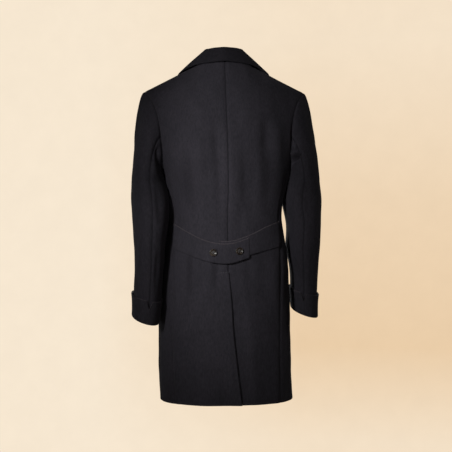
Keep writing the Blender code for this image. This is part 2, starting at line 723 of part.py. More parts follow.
def build_sleeves():
    places = np.concatenate([
        np.array([0.0, 0.10, 0.22, 0.38, 0.56, 0.78]),
        spread(1.0, 2.0, 9),
    ])
    hind = math.radians(HIND_SEAM)
    fore = math.radians(FORE_SEAM)
    turn_gap = math.radians(SEAM_TURN)
    for hand, sign, table in (("left", 1, SLEEVE_LEFT), ("right", -1, SLEEVE_RIGHT)):
        mirror = np.array([sign, 1.0, 1.0])
        upper = spread(fore - 2 * math.pi + turn_gap, hind - turn_gap, 16)
        under = spread(hind + turn_gap, fore - turn_gap, 11)
        for name, turns in (("upper", upper), ("under", under)):
            outer = sleeve_face(table, turns[None, :], places[:, None], sign)
            normal = sleeve_normal(table, turns[None, :], places[:, None], sign)
            add_wall(f"sleeve_{name}_{hand}", outer * mirror, (outer - normal * WALL) * mirror)
        build_cuff(hand, sign, table, mirror)


def build_cuff(hand, sign, table, mirror):
    """Turned-back band around the sleeve end, dipping in a V at the hind seam."""
    even = np.linspace(0.0, 2 * math.pi, 27)[:-1]
    notch = math.radians(HIND_SEAM) + np.radians(NOTCH_TURN) * np.array([-1.0, 0.0, 1.0])
    keep = np.abs(even - math.radians(HIND_SEAM)) > math.radians(NOTCH_TURN + 4.0)
    turns = np.sort(np.concatenate([even[keep], notch]))
    away = np.abs(turns - math.radians(HIND_SEAM)) / math.radians(NOTCH_TURN)
    tall = CUFF_TALL - NOTCH_DEEP * np.clip(1.0 - away, 0, 1)
    share = spread(0.0, 1.0, 5)
    end_z = table[-1][0]
    z = end_z + share[:, None] * tall[None, :]
    turn_grid = np.repeat(turns[None, :], share.size, axis=0)
    points = sleeve_ring(table, turn_grid, z, sign)
    axis = smooth_table(table, z)
    away_x = points[..., 0] - axis[..., 0]
    away_y = points[..., 1] - axis[..., 1]
    out = unit(np.stack([away_x / axis[..., 2] ** 2, away_y / axis[..., 3] ** 2, 0 * z], axis=-1))
    spill = CUFF_FLARE * (0.55 + 0.45 * np.cos(turns))
    lift = LAY + WALL + share[:, None] ** 2 * spill[None, :]
    points = points + out * lift[..., None]
    add_wall("cuff_" + hand, points * mirror, (points - out * WALL) * mirror, wrap=True)


def belt_face(start_x, end_x, lift, rise, count):
    """Half-belt piece made from the backs' points, moved out."""
    x = spread(start_x, end_x, count)
    line = smooth_table(BELT, x)
    down = spread(1.0, -1.0, 4)
    z = line[None, :, 0] + rise + down[:, None] * line[None, :, 1]
    x_grid = np.repeat(x[None, :], down.size, axis=0)
    columns = np.clip(column_at("back", x_grid, z), -0.985, 0.985)
    return body("back", columns, row_of(z), lift)


def build_belt():
    x_left = spread(BELT_SEWN, BELT_LEFT_END, 22)
    step_up = smooth_step((BELT_RIGHT_END + BELT_STEP_FROM - x_left) / BELT_STEP_LENGTH)[None, :]
    over = LAY + (WALL + BELT_CLEAR) * step_up
    left = [belt_face(BELT_SEWN, BELT_LEFT_END, over + extra, 0.0, 22) for extra in (WALL, 0.0)]
    add_wall("half_belt_left", *left)
    right = [belt_face(BELT_RIGHT_END, -BELT_SEWN, LAY + extra, BELT_RIGHT_RISE, 20) for extra in (WALL, 0.0)]
    add_wall("half_belt_right", *right)
    seat = LAY + 2 * WALL + BELT_CLEAR + BUTTON_CLEAR
    for name, x in BELT_BUTTONS:
        z = smooth_table(BELT, x)[0]
        column = column_at("back", x, z)
        spot = body("back", column, row_of(z), seat)
        add_button("belt_button_" + name, spot, body_normal("back", column, row_of(z)), BELT_BUTTON_RADIUS)


def build_front_buttons():
    for name, z in FRONT_BUTTON_ROWS:
        for hand, x in (("left", FRONT_BUTTON_ACROSS), ("right", -FRONT_BUTTON_ACROSS)):
            column = column_at("front", x, z)
            spot = body("front", column, row_of(z), BUTTON_CLEAR)
            normal = body_normal("front", column, row_of(z))
            add_button(f"front_button_{name}_{hand}", spot, normal, FRONT_BUTTON_RADIUS)


def add_button(name, spot, normal, radius):
    """Round dished button: profile turned about the cloth's normal."""
    normal = unit(normal)
    across = unit(np.cross(normal, np.array([0.0, 0.0, 1.0])))
    up = np.cross(across, normal)
    count = BUTTON_SIDES
    turns = np.linspace(0.0, 2 * math.pi, count + 1)[:-1]
    spin = np.cos(turns)[:, None] * across + np.sin(turns)[:, None] * up
    rings = [spot + spin * radius * r + normal * BUTTON_THICK * h for r, h in BUTTON_PROFILE]
    dish = spot + normal * BUTTON_THICK * BUTTON_DISH
    vertices = np.concatenate(rings + [spot[None, :], dish[None, :]])
    faces = []
    for k in range(len(BUTTON_PROFILE) - 1):
        for c in range(count):
            n = (c + 1) % count
            faces.append((k * count + c, k * count + n, (k + 1) * count + n, (k + 1) * count + c))
    bottom = len(BUTTON_PROFILE) * count
    last = (len(BUTTON_PROFILE) - 1) * count
    for c in range(count):
        n = (c + 1) % count
        faces.append((bottom, n, c))
        faces.append((bottom + 1, last + c, last + n))
    if signed_volume(vertices, faces) < 0:
        faces = [tuple(reversed(face)) for face in faces]
    return add_object(name, vertices, faces, HORN, 0.3)


for existing in list(bpy.data.objects):
    bpy.data.objects.remove(existing, do_unlink=True)

build_backs()
build_sides()
build_fronts()
build_lapels()
build_collar()
build_sleeves()
build_belt()
build_front_buttons()
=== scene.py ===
import math
import bpy
import numpy as np
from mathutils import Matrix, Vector


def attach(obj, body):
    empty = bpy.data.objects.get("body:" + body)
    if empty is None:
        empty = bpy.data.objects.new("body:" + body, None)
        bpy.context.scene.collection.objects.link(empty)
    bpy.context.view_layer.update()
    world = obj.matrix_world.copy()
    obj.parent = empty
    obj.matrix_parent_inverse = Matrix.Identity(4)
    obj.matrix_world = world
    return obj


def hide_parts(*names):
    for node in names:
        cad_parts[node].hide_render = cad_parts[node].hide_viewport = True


# Double-breasted wool coat in its worn, hollow shape, seen from behind.
# Metres, +Z up, the front faces -Y and the wearer's left is +X.

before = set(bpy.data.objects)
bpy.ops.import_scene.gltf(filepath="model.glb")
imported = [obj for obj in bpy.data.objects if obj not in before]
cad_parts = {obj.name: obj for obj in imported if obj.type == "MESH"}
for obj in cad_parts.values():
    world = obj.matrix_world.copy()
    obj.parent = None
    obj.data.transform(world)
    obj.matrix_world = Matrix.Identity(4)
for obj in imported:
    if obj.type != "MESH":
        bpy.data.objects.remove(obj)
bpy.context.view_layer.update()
print("coat: frame loaded")

cloth = {
    "wall": 0.0025,       # thickness of the melton
    "lay": 0.0008,        # air between a laid piece and the panel below it
    "step": 0.0044,       # spacing of the surface grids
    "edgeSteps": (0.0, 0.0005, 0.0012, 0.0022, 0.0038),   # closer lines of a grid at a border
    "seamDip": 0.0014,    # how far a panel is drawn in at a sewn seam
    "seamReach": 0.0042,
    "seamBulk": 0.0004,   # pressed-open seam allowance below the cloth
    "edgeRound": 0.0011,  # softness of a turned edge
    "edgeReach": 0.0022,
    "wearReach": 0.0015,  # width of a pale edge, partly rubbed and partly a painted highlight, or of a seam's painted shade line
    "wander": 0.0006,     # slight unevenness of the whole cloth
}


# cubic through the rows of a table (first column is the place), slopes from its neighbours
def smoothTable(rows, place):
    data = np.array(sorted(rows), dtype=float)
    key = data[:, 0]
    slope = np.gradient(data[:, 1:], key, axis=0)
    place = np.clip(np.asarray(place, dtype=float), key[0], key[-1])
    low = np.clip(np.searchsorted(key, place) - 1, 0, len(key) - 2)
    step = key[low + 1] - key[low]
    s = ((place - key[low]) / step)[..., None]
    bend = slope[low] * s * (1 - s) ** 2 + slope[low + 1] * s ** 2 * (s - 1)
    ends = data[low, 1:] * (1 + 2 * s) * (1 - s) ** 2 + data[low + 1, 1:] * s ** 2 * (3 - 2 * s)
    return ends + bend * step[..., None]


# 3v2 - 2v3 between 0 and 1, level outside
def smoothStep(value):
    value = np.clip(value, 0.0, 1.0)
    return value * value * (3.0 - 2.0 * value)


# cubic from start to end with the given leaving and arriving directions
def hermite(start, leave, end, arrive, s):
    s = s[..., None]
    startPart = (1 + 2 * s) * (1 - s) ** 2 * start + s * (1 - s) ** 2 * leave
    return startPart + s ** 2 * (3 - 2 * s) * end + s ** 2 * (s - 1) * arrive


# vectors divided by their length
def unit(vectors):
    return vectors / np.maximum(np.linalg.norm(vectors, axis=-1, keepdims=True), 1e-9)


# shares of a length: even in the middle, closer within 4 mm of each end
def edgeShares(length, step=cloth["step"]):
    near = np.array(cloth["edgeSteps"]) / length
    middle = np.linspace(0.0062 / length, 1 - 0.0062 / length, max(int(length / step), 4))
    return np.concatenate([near, middle, 1 - near[::-1]])


# lift of soft creases on a flat map (u, v): each is a bell across its line, sin2 along it
# row: start u, start v, end u, end v, half width, depth (out is positive), bow, skew of its peak
def creaseLift(u, v, rows):
    lift = np.zeros(np.shape(u))
    for startU, startV, endU, endV, width, depth, bow, skew in rows:
        du, dv = endU - startU, endV - startV
        length = math.hypot(du, dv)
        along = ((u - startU) * du + (v - startV) * dv) / length ** 2
        aside = ((u - startU) * dv - (v - startV) * du) / length
        share = np.clip(along, 0, 1)
        aside = aside - bow * 4 * share * (1 - share)
        lift += depth * np.exp(-(aside / width) ** 2) * np.sin(math.pi * share ** skew) ** 2
    return lift


# small unevenness of worn cloth: a few long waves crossing at odd angles
def clothWander(points, size=cloth["wander"]):
    x, y, z = points[..., 0], points[..., 1], points[..., 2]
    waves = np.sin(41 * x + 23 * z + 9 * y + 0.7) + 0.8 * np.sin(-29 * x + 47 * z + 31 * y + 2.1)
    waves = waves + 0.6 * np.sin(83 * x - 19 * z + 57 * y + 4.2) + 0.4 * np.sin(17 * x + 101 * z - 43 * y)
    return size * waves


coatBody = {
    "chest": -0.262, "hem": -0.925,
    "power": 2.3,                       # squareness of the sections
    "sideFront": math.radians(112.0),   # side-front seam, from centre back
    "neckBack": (0.000, 0.070, 0.026),
    "neckCorner": (0.078, 0.020, 0.020),
    "neckFront": (0.000, -0.075, -0.070),
    "shoulder": (0.230, 0.004, -0.054),
    "neckShare": 0.38,
    "leave": 0.230, "armholeBulge": 0.110,
    "neckShift": 0.008, "leanFrom": -0.360, "leanFull": 0.030, "leanLess": 0.4,
    # height, half width, depth behind, depth before, sideways shift, side-back seam in degrees
    "sections": (
        (-0.925, 0.189, 0.128, 0.134, -0.001, 48.0),
        (-0.790, 0.189, 0.125, 0.131, 0.0035, 49.0),
        (-0.720, 0.188, 0.123, 0.129, 0.0045, 50.0),
        (-0.650, 0.184, 0.121, 0.127, 0.002, 51.0),
        (-0.560, 0.180, 0.116, 0.122, 0.002, 54.0),
        (-0.490, 0.173, 0.110, 0.117, 0.002, 57.0),
        (-0.400, 0.162, 0.103, 0.114, 0.002, 62.0),
        (-0.330, 0.169, 0.108, 0.122, 0.000, 66.0),
        (-0.262, 0.188, 0.118, 0.130, 0.000, 70.0),
    ),
    # share from the centre to the armhole, direction in which the cloth arrives at the top
    "arriveBack": (
        (-0.38, 0.010, -0.190, 0.070),
        (0.00, 0.000, -0.070, 0.170),
        (0.38, -0.010, -0.190, 0.070),
        (0.70, 0.050, -0.190, 0.060),
        (1.00, 0.140, -0.165, 0.120),
    ),
    "arriveFront": (
        (-0.38, 0.010, 0.190, 0.080),
        (0.00, 0.000, 0.060, 0.170),
        (0.38, -0.010, 0.190, 0.080),
        (0.70, 0.050, 0.190, 0.060),
        (1.00, 0.140, 0.160, 0.120),
    ),
    # main creases of the back and front: start x, z, end x, z, half width, depth, bow, skew
    "backCreases": (
        (0.012, -0.150, 0.008, -0.480, 0.016, -0.0037, 0.0, 1.0),
        (0.058, -0.190, 0.056, -0.470, 0.018, -0.0044, 0.0, 1.0),
        (0.108, -0.170, 0.098, -0.460, 0.018, -0.0050, 0.0, 1.0),
        (-0.072, -0.190, -0.062, -0.470, 0.020, -0.0044, 0.0, 1.0),
        (-0.125, -0.200, -0.105, -0.450, 0.016, -0.0037, 0.0, 1.0),
        (0.080, -0.510, 0.092, -0.700, 0.022, -0.0044, 0.0, 1.0),
        (-0.090, -0.510, -0.100, -0.720, 0.024, -0.0044, 0.0, 1.0),
        (0.034, -0.118, 0.026, -0.480, 0.013, -0.0076, 0.003, 0.7),
        (0.079, -0.150, 0.070, -0.350, 0.015, 0.0046, -0.002, 0.9),
        (0.100, -0.236, 0.084, -0.505, 0.015, -0.0070, 0.003, 0.8),
        (0.128, -0.190, 0.118, -0.440, 0.012, 0.0042, -0.003, 1.2),
        (0.096, -0.030, 0.080, -0.190, 0.028, 0.0070, 0.004, 1.0),
        (-0.040, -0.196, -0.047, -0.445, 0.013, -0.0050, 0.003, 0.8),
        (-0.084, -0.210, -0.078, -0.420, 0.013, 0.0044, 0.002, 0.8),
        (-0.115, -0.110, -0.110, -0.300, 0.016, -0.0074, -0.003, 0.9),
        (-0.148, -0.120, -0.140, -0.300, 0.014, 0.0056, -0.004, 1.1),
        (-0.030, -0.330, -0.034, -0.480, 0.010, -0.0024, 0.002, 1.1),
        (0.118, -0.490, 0.124, -0.690, 0.012, 0.0056, 0.002, 0.7),
        (0.094, -0.490, 0.100, -0.660, 0.011, -0.0056, -0.002, 0.7),
        (0.055, -0.490, 0.051, -0.670, 0.013, 0.0050, 0.002, 0.6),
        (0.031, -0.520, 0.029, -0.610, 0.009, -0.0028, 0.0, 0.8),
        (-0.052, -0.510, -0.058, -0.690, 0.014, -0.0030, 0.003, 0.7),
        (-0.125, -0.500, -0.132, -0.740, 0.016, 0.0034, 0.004, 0.8),
        (0.070, -0.690, 0.076, -1.010, 0.026, 0.0044, 0.004, 1.1),
        (0.126, -0.720, 0.132, -1.000, 0.018, -0.0040, -0.003, 1.0),
        (0.018, -0.700, 0.006, -0.990, 0.018, -0.0026, 0.0, 1.0),
        (-0.092, -0.730, -0.098, -1.010, 0.026, -0.0044, 0.005, 1.0),
        (-0.140, -0.700, -0.146, -1.000, 0.016, 0.0028, 0.0, 1.1),
    ),
    "frontCreases": (
        (0.105, -0.420, 0.120, -0.720, 0.024, -0.0042, 0.0, 1.0),
        (-0.110, -0.430, -0.125, -0.740, 0.024, -0.0042, 0.0, 1.0),
        (0.150, -0.130, 0.128, -0.290, 0.012, -0.0034, 0.004, 0.8),
        (0.128, -0.300, 0.108, -0.430, 0.011, -0.0026, -0.003, 1.1),
        (0.136, -0.500, 0.144, -0.760, 0.013, 0.0031, 0.003, 0.8),
        (0.080, -0.600, 0.088, -0.960, 0.020, 0.0034, 0.004, 0.9),
        (0.030, -0.640, 0.034, -0.980, 0.018, -0.0026, -0.003, 1.1),
        (-0.020, -0.600, -0.024, -0.900, 0.016, 0.0020, 0.002, 1.0),
        (0.070, -0.380, 0.010, -0.450, 0.010, -0.0020, 0.003, 1.0),
    ),
    # side panels: start arc from the middle, z, end arc, z
    "sideCreases": (
        (-0.030, -0.290, -0.022, -0.480, 0.011, -0.0031, 0.003, 0.9),
        (0.016, -0.310, 0.022, -0.500, 0.013, -0.0036, -0.003, 1.1),
        (-0.010, -0.470, -0.016, -0.760, 0.015, 0.0031, 0.004, 0.8),
        (0.034, -0.520, 0.042, -0.930, 0.015, -0.0031, 0.003, 1.0),
        (-0.038, -0.600, -0.046, -0.980, 0.014, -0.0025, -0.003, 1.2),
        (-0.024, -0.400, 0.020, -0.430, 0.009, -0.0020, 0.003, 1.0),
    ),
    # soft fullness under each sleeve, where side and sleeve rest on each other
    "sideFull": {
        "left": ((0.000, -0.250, 0.000, -0.620, 0.055, 0.0050, 0.0, 0.8),),
        "right": ((0.000, -0.250, 0.000, -0.400, 0.050, 0.0034, 0.0, 0.9),),
    },
}


# superellipse section at a height; the angle runs from centre back round to centre front
def ringPoint(angle, z):
    half, back, front, shift, _ = np.moveaxis(smoothTable(coatBody["sections"], z), -1, 0)
    across, along, power = np.sin(angle), np.cos(angle), coatBody["power"]
    reach = (np.abs(across) ** power + np.abs(along) ** power) ** (-1.0 / power)
    depth = np.where(along > 0, back, front)
    return np.stack([shift + half * across * reach, depth * along * reach, z], axis=-1)


# height of a row: -1 is the hem, 0 the chest; rows above it stay at the chest
def rowHeight(row):
    return coatBody["chest"] + np.minimum(row, 0.0) * (coatBody["chest"] - coatBody["hem"])


# row that stands at a height below the chest
def rowOf(z):
    return (z - coatBody["chest"]) / (coatBody["chest"] - coatBody["hem"])


# point below the chest: column 0 is the centre, 1 the side-back or side-front seam
def lowerPoint(panel, column, z):
    seam = np.radians(smoothTable(coatBody["sections"], z)[..., 4])
    frontTurn = math.pi - column * (math.pi - coatBody["sideFront"])
    return ringPoint(column * seam if panel == "back" else frontTurn, z)


# neck curve, a quarter ellipse to the neck corner, then the straight shoulder line
def topPoint(panel, column):
    centre = np.array(coatBody["neckBack" if panel == "back" else "neckFront"])
    corner, point = np.array(coatBody["neckCorner"]), np.array(coatBody["shoulder"])
    neckShare = coatBody["neckShare"]
    turn = np.clip(column / neckShare, 0, 1)[..., None] * math.pi / 2
    level = corner * np.array([0, 1, 1]) * (1 - np.cos(turn)) + corner * np.array([1, 0, 0]) * np.sin(turn)
    share = np.clip((column - neckShare) / (1 - neckShare), 0, 1)[..., None]
    return np.where(column[..., None] < neckShare, centre * np.cos(turn) + level, corner + (point - corner) * share)


# top line as the cloth below it hangs: a mean of nearby top points softens the neck corner, and the
# sharp line comes back only under the collar
def hangingTop(panel, column, row):
    sharp = topPoint(panel, column)
    offsets = np.linspace(-0.12, 0.12, 9)
    soft = sum(topPoint(panel, np.abs(column + offset)) for offset in offsets) / offsets.size
    near = np.exp(-((column - coatBody["neckShare"]) / 0.16) ** 2) * (1 - smoothStep((row - 0.93) / 0.06))
    return sharp + (soft - sharp) * near[..., None]


# panel before its creases: sections up to the chest, then a cubic up to the neck and shoulder
def plainBody(panel, column, row):
    column, row = np.broadcast_arrays(np.asarray(column, float), np.asarray(row, float))
    low = lowerPoint(panel, column, rowHeight(row))
    away = np.abs(column)
    chest = np.full(column.shape, coatBody["chest"])
    base = lowerPoint(panel, away, chest)
    leave = (base - lowerPoint(panel, away, chest - 0.004)) / 0.004 * coatBody["leave"]
    leave[..., 1] += (1.0 if panel == "back" else -1.0) * coatBody["armholeBulge"] * away ** 3
    leave[..., 0] *= 1.0 - 0.9 * away ** 2
    arrive = smoothTable(coatBody["arriveBack" if panel == "back" else "arriveFront"], away)
    high = hermite(base, leave, hangingTop(panel, away, row), arrive, np.clip(row, 0, 1))
    high[..., 0] *= np.where(column < 0, -1.0, 1.0)
    return np.where(row[..., None] > 0, high, low)


# cross product of the two directions in the panel, turned outwards
def panelNormal(panel, column, row):
    step = 0.004
    across = plainBody(panel, column + step, row) - plainBody(panel, column - step, row)
    up = plainBody(panel, column, np.minimum(row + step, 1.0))
    up = up - plainBody(panel, column, np.maximum(row - step, -1.0))
    normal = unit(np.cross(across, up))
    facing = np.sign(normal[..., 1:2] * (1.0 if panel == "back" else -1.0))
    return normal * np.where(facing == 0, 1.0, facing)


# panel normal, blended towards the mean of back and front along the shoulder seam
def bodyNormal(panel, column, row):
    column, row = np.broadcast_arrays(np.asarray(column, float), np.asarray(row, float))
    top = np.ones(column.shape)
    both = unit(panelNormal("back", column, top) + panelNormal("front", column, top))
    near = smoothStep((row - 0.88) / 0.11) * smoothStep((np.abs(column) - 0.30) / 0.08)
    return unit(panelNormal(panel, column, row) * (1 - near[..., None]) + both * near[..., None])


# outer face of the cloth with its creases, which end before the side seams, moved out by lift
def bodyFace(panel, column, row, lift=0.0):
    points = plainBody(panel, column, row)
    creases = coatBody["backCreases" if panel == "back" else "frontCreases"]
    inside = 1 - smoothStep((np.abs(column) - 0.86) / 0.13)
    below = 1 - smoothStep((row - 0.88) / 0.11)
    total = (creaseLift(points[..., 0], points[..., 2], creases) + clothWander(points) * below) * inside + lift
    return points + bodyNormal(panel, column, row) * total[..., None]


# column at a sideways place and a height below the chest, by halving the interval
def columnAt(panel, x, z):
    x, z = np.broadcast_arrays(np.asarray(x, float), np.asarray(z, float))
    low, high = np.full(x.shape, -1.2), np.full(x.shape, 1.2)
    for _ in range(34):
        middle = (low + high) / 2
        beyond = lowerPoint(panel, middle, z)[..., 0] > x
        low, high = np.where(beyond, low, middle), np.where(beyond, middle, high)
    return (low + high) / 2


# upper part moved sideways, most at the neck and less towards the shoulders
def leanOver(points):
    high = smoothStep((points[..., 2] - coatBody["leanFrom"]) / (coatBody["leanFull"] - coatBody["leanFrom"]))
    aside = 1.0 - coatBody["leanLess"] * (points[..., 0] / coatBody["shoulder"][0]) ** 2
    moved = points.copy()
    moved[..., 0] += coatBody["neckShift"] * high * aside
    return moved


# distance along the cloth from each border of a grid: left, right, low, high
def borderDistances(points):
    across = np.linalg.norm(np.diff(points, axis=1), axis=-1)
    upward = np.linalg.norm(np.diff(points, axis=0), axis=-1)
    left = np.pad(np.cumsum(across, axis=1), ((0, 0), (1, 0)))
    low = np.pad(np.cumsum(upward, axis=0), ((1, 0), (0, 0)))
    return left, left[:, -1:] - left, low, low[-1:] - low


# outer lift near the borders: sewn seams are drawn in over a soft bulk, turned edges are rounded
# kinds gives each border (turned, weight, wear and painted light): turned 1 is a free edge, 0 a seam; the third
# value above 0 is a pale edge, partly rubbed and partly a painted highlight, and below 0 a painted shade line along
# a seam or under an edge
def borderLift(points, kinds):
    lift = np.zeros(points.shape[:2])
    wearAndPaintedLight = np.zeros(points.shape[:2])
    for (turned, weight, wearAndLightWeight), distance in zip(kinds, borderDistances(points)):
        seam = cloth["seamBulk"] * np.exp(-((distance - 0.011) / 0.005) ** 2)
        seam = seam - cloth["seamDip"] * np.exp(-(distance / cloth["seamReach"]) ** 2)
        edge = -cloth["edgeRound"] * (1 - smoothStep(distance / cloth["edgeReach"])) ** 2
        lift += weight * (turned * edge + (1 - turned) * seam)
        # pale edge from wear and a painted highlight above 0, painted shade of a seam or lower edge below 0
        wearAndPaintedLight += wearAndLightWeight * np.exp(-(distance / cloth["wearReach"]) ** 2)
    return lift, wearAndPaintedLight


# four-sided faces of a grid of point numbers
def gridFaces(index):
    return np.stack([index[:-1, :-1], index[:-1, 1:], index[1:, 1:], index[1:, :-1]], axis=-1).reshape(-1, 4)


# mesh from points and faces, turned so that its enclosed volume is positive
def makeMesh(name, points, faces, material, smoothAngle=55.0, ends=()):
    corner = [points[faces[:, i]] for i in range(4)]
    volume = np.sum(corner[0] * np.cross(corner[1], corner[2])) + np.sum(corner[0] * np.cross(corner[2], corner[3]))
    allFaces = faces.tolist() + list(ends)
    if volume < 0:
        allFaces = [face[::-1] for face in allFaces]
    mesh = bpy.data.meshes.new(name)
    mesh.from_pydata(points.tolist(), [], allFaces)
    mesh.polygons.foreach_set("use_smooth", np.ones(len(allFaces), dtype=bool))
    mesh.set_sharp_from_angle(angle=math.radians(smoothAngle))
    mesh.materials.append(material)
    mesh.update()
    piece = bpy.data.objects.new(name, mesh)
    bpy.context.scene.collection.objects.link(piece)
    return piece


# closed wall: an outer and an inner grid of one shape, joined by strips round their border
def makeWall(name, outer, inner, material, wearAndPaintedLight, ring=False):
    outer, inner = leanOver(outer), leanOver(inner)
    rows, columns = outer.shape[:2]
    count = rows * columns
    index = np.arange(count).reshape(rows, columns)
    if ring:
        index = np.concatenate([index, index[:, :1]], axis=1)
    faces = [gridFaces(index), gridFaces(index)[:, ::-1] + count]
    borders = [index[0, ::-1], index[-1]] if ring else [index[0, ::-1], index[-1], index[:, 0], index[::-1, -1]]
    for line in borders:
        faces.append(gridFaces(np.stack([line, line + count])))
    points = np.concatenate([outer.reshape(-1, 3), inner.reshape(-1, 3)])
    piece = makeMesh(name, points, np.concatenate(faces), material)
    # edge colour per point: wear and a painted highlight above 0, painted shade below 0
    edgeWearAndPaintedLight = piece.data.attributes.new("edgeWearAndPaintedLight", "FLOAT", "POINT")
    edgeWearAndPaintedLight.data.foreach_set("value", np.tile(wearAndPaintedLight.ravel(), 2))
    return piece


flatCuts = {}


# cloth piece on its CAD body: replaces its node and states the cut it was sewn from
def sewIn(piece, outer):
    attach(piece, "root")
    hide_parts(piece.name.replace("Cloth", ""))
    length = np.linalg.norm(np.diff(outer, axis=0), axis=-1).sum(axis=0).max()
    halves = np.cross(outer[1:, 1:] - outer[:-1, :-1], outer[1:, :-1] - outer[:-1, 1:])
    area = 0.5 * np.linalg.norm(halves, axis=-1).sum()
    across = np.linalg.norm(np.diff(outer, axis=1), axis=-1).sum(axis=1)
    width = max(np.percentile(across, 75), area / length)  # the few rows along a curved top are left out
    flatCuts[piece.name] = (round(width * 1000), round(length * 1000))


# node tree of a new material, with its shader and Object coordinates
def newMaterial(name):
    material = bpy.data.materials.new(name)
    material.use_nodes = True
    tree = material.node_tree
    coords = tree.nodes.new("ShaderNodeTexCoord")
    return material, tree, tree.nodes["Principled BSDF"], coords.outputs["Object"]


# noise pattern on the given coordinates, stretched by a Mapping node
def addNoise(tree, coords, scale, stretch=(1, 1, 1), detail=4.0, rough=0.6):
    mapping = tree.nodes.new("ShaderNodeMapping")
    mapping.inputs["Scale"].default_value = stretch
    noise = tree.nodes.new("ShaderNodeTexNoise")
    noise.inputs["Scale"].default_value = scale
    noise.inputs["Detail"].default_value = detail
    noise.inputs["Roughness"].default_value = rough
    tree.links.new(coords, mapping.inputs["Vector"])
    tree.links.new(mapping.outputs["Vector"], noise.inputs["Vector"])
    return noise.outputs["Fac"]


# colour ramp between placed colours
def addRamp(tree, factor, stops):
    ramp = tree.nodes.new("ShaderNodeValToRGB")
    while len(ramp.color_ramp.elements) < len(stops):
        ramp.color_ramp.elements.new(0.5)
    for element, (place, colour) in zip(ramp.color_ramp.elements, stops):
        element.position = place
        element.color = (*colour, 1.0)
    tree.links.new(factor, ramp.inputs["Fac"])
    return ramp.outputs["Color"]


# blend of two colours by a factor
def addBlend(tree, factor, first, second, kind="MIX"):
    blend = tree.nodes.new("ShaderNodeMix")
    blend.data_type = "RGBA"
    blend.blend_type = kind
    for socket, value in ((blend.inputs[0], factor), (blend.inputs[6], first), (blend.inputs[7], second)):
        if isinstance(value, bpy.types.NodeSocket):
            tree.links.new(value, socket)
        else:
            socket.default_value = value
    return blend.outputs[2]


# product of two values, held between 0 and 1
def addProduct(tree, first, second):
    product = tree.nodes.new("ShaderNodeMath")
    product.operation = "MULTIPLY"
    product.use_clamp = True
    for socket, value in zip(product.inputs, (first, second)):
        if isinstance(value, bpy.types.NodeSocket):
            tree.links.new(value, socket)
        else:
            socket.default_value = value
    return product.outputs[0]


# edge: pale colour of turned edges, partly rubbed and partly a painted highlight; seam: painted shade along seams
# and under edges
wool = {
    "navy": (0.0218, 0.0202, 0.0252), "light": (0.0284, 0.0258, 0.0322),
    "edge": (0.120, 0.098, 0.100), "seam": (0.0030, 0.0028, 0.0036),
    "patchScale": 14.0, "napScale": 260.0, "fibreScale": 900.0,
    "roughness": 0.93, "sheen": 0.04, "bump": 0.22,
}


# napped melton: mottled navy, short fibres brushed downwards, paler along turned edges (partly rubbed, partly a
# painted highlight), darker with painted shade along seams
def makeWool(name, tone=1.0):
    material, tree, shader, coords = newMaterial(name)
    patch = addNoise(tree, coords, wool["patchScale"], (1, 1, 0.6), 3.0)
    nap = addNoise(tree, coords, wool["napScale"], (1, 1, 0.35), 5.0, 0.7)
    fibre = addNoise(tree, coords, wool["fibreScale"], (1, 1, 0.22), 6.0, 0.75)
    dark, light = (tuple(c * tone for c in wool[key]) for key in ("navy", "light"))
    broad = addRamp(tree, patch, ((0.30, dark), (0.72, light)))
    fine = addRamp(tree, nap, ((0.30, (0.70, 0.70, 0.71)), (0.70, (1.22, 1.22, 1.21))))
    colour = addBlend(tree, 1.0, broad, fine, "MULTIPLY")
    # edge attribute: above 0 blends towards the pale edge colour (wear with a painted highlight), below 0 towards
    # the painted seam shade
    wearAndLightAttribute = tree.nodes.new("ShaderNodeAttribute")
    wearAndLightAttribute.attribute_name = "edgeWearAndPaintedLight"
    wearAndLightWeight = addProduct(tree, wearAndLightAttribute.outputs["Fac"], nap)
    paintedSeamShade = addProduct(tree, wearAndLightAttribute.outputs["Fac"], -1.0)
    colour = addBlend(tree, wearAndLightWeight, colour, (*wool["edge"], 1.0))
    colour = addBlend(tree, paintedSeamShade, colour, (*wool["seam"], 1.0))
    tree.links.new(colour, shader.inputs["Base Color"])
    bump = tree.nodes.new("ShaderNodeBump")
    bump.inputs["Strength"].default_value = wool["bump"]
    bump.inputs["Distance"].default_value = 0.0006
    tree.links.new(addBlend(tree, 0.5, nap, fibre), bump.inputs["Height"])
    tree.links.new(bump.outputs["Normal"], shader.inputs["Normal"])
    shader.inputs["Roughness"].default_value = wool["roughness"]
    shader.inputs["Specular IOR Level"].default_value = 0.12
    shader.inputs["Sheen Weight"].default_value = wool["sheen"]
    shader.inputs["Sheen Roughness"].default_value = 0.5
    shader.inputs["Sheen Tint"].default_value = (0.62, 0.60, 0.68, 1.0)
    return material


horn = {"dark": (0.008, 0.006, 0.005), "streak": (0.040, 0.028, 0.019), "roughness": 0.20}


# polished dark horn with long pale streaks and fine scratches in the gloss
def makeHorn(name):
    material, tree, shader, coords = newMaterial(name)
    streak = addNoise(tree, coords, 160.0, (1.0, 1.0, 0.22), 4.0, 0.55)
    colour = addRamp(tree, streak, ((0.42, horn["dark"]), (0.74, horn["streak"])))
    tree.links.new(colour, shader.inputs["Base Color"])
    scratch = addNoise(tree, coords, 700.0, (1.0, 0.3, 1.0), 3.0)
    gloss = addRamp(tree, scratch, ((0.3, (horn["roughness"],) * 3), (0.8, (horn["roughness"] + 0.16,) * 3)))
    tree.links.new(gloss, shader.inputs["Roughness"])
    shader.inputs["Specular IOR Level"].default_value = 0.45
    return material


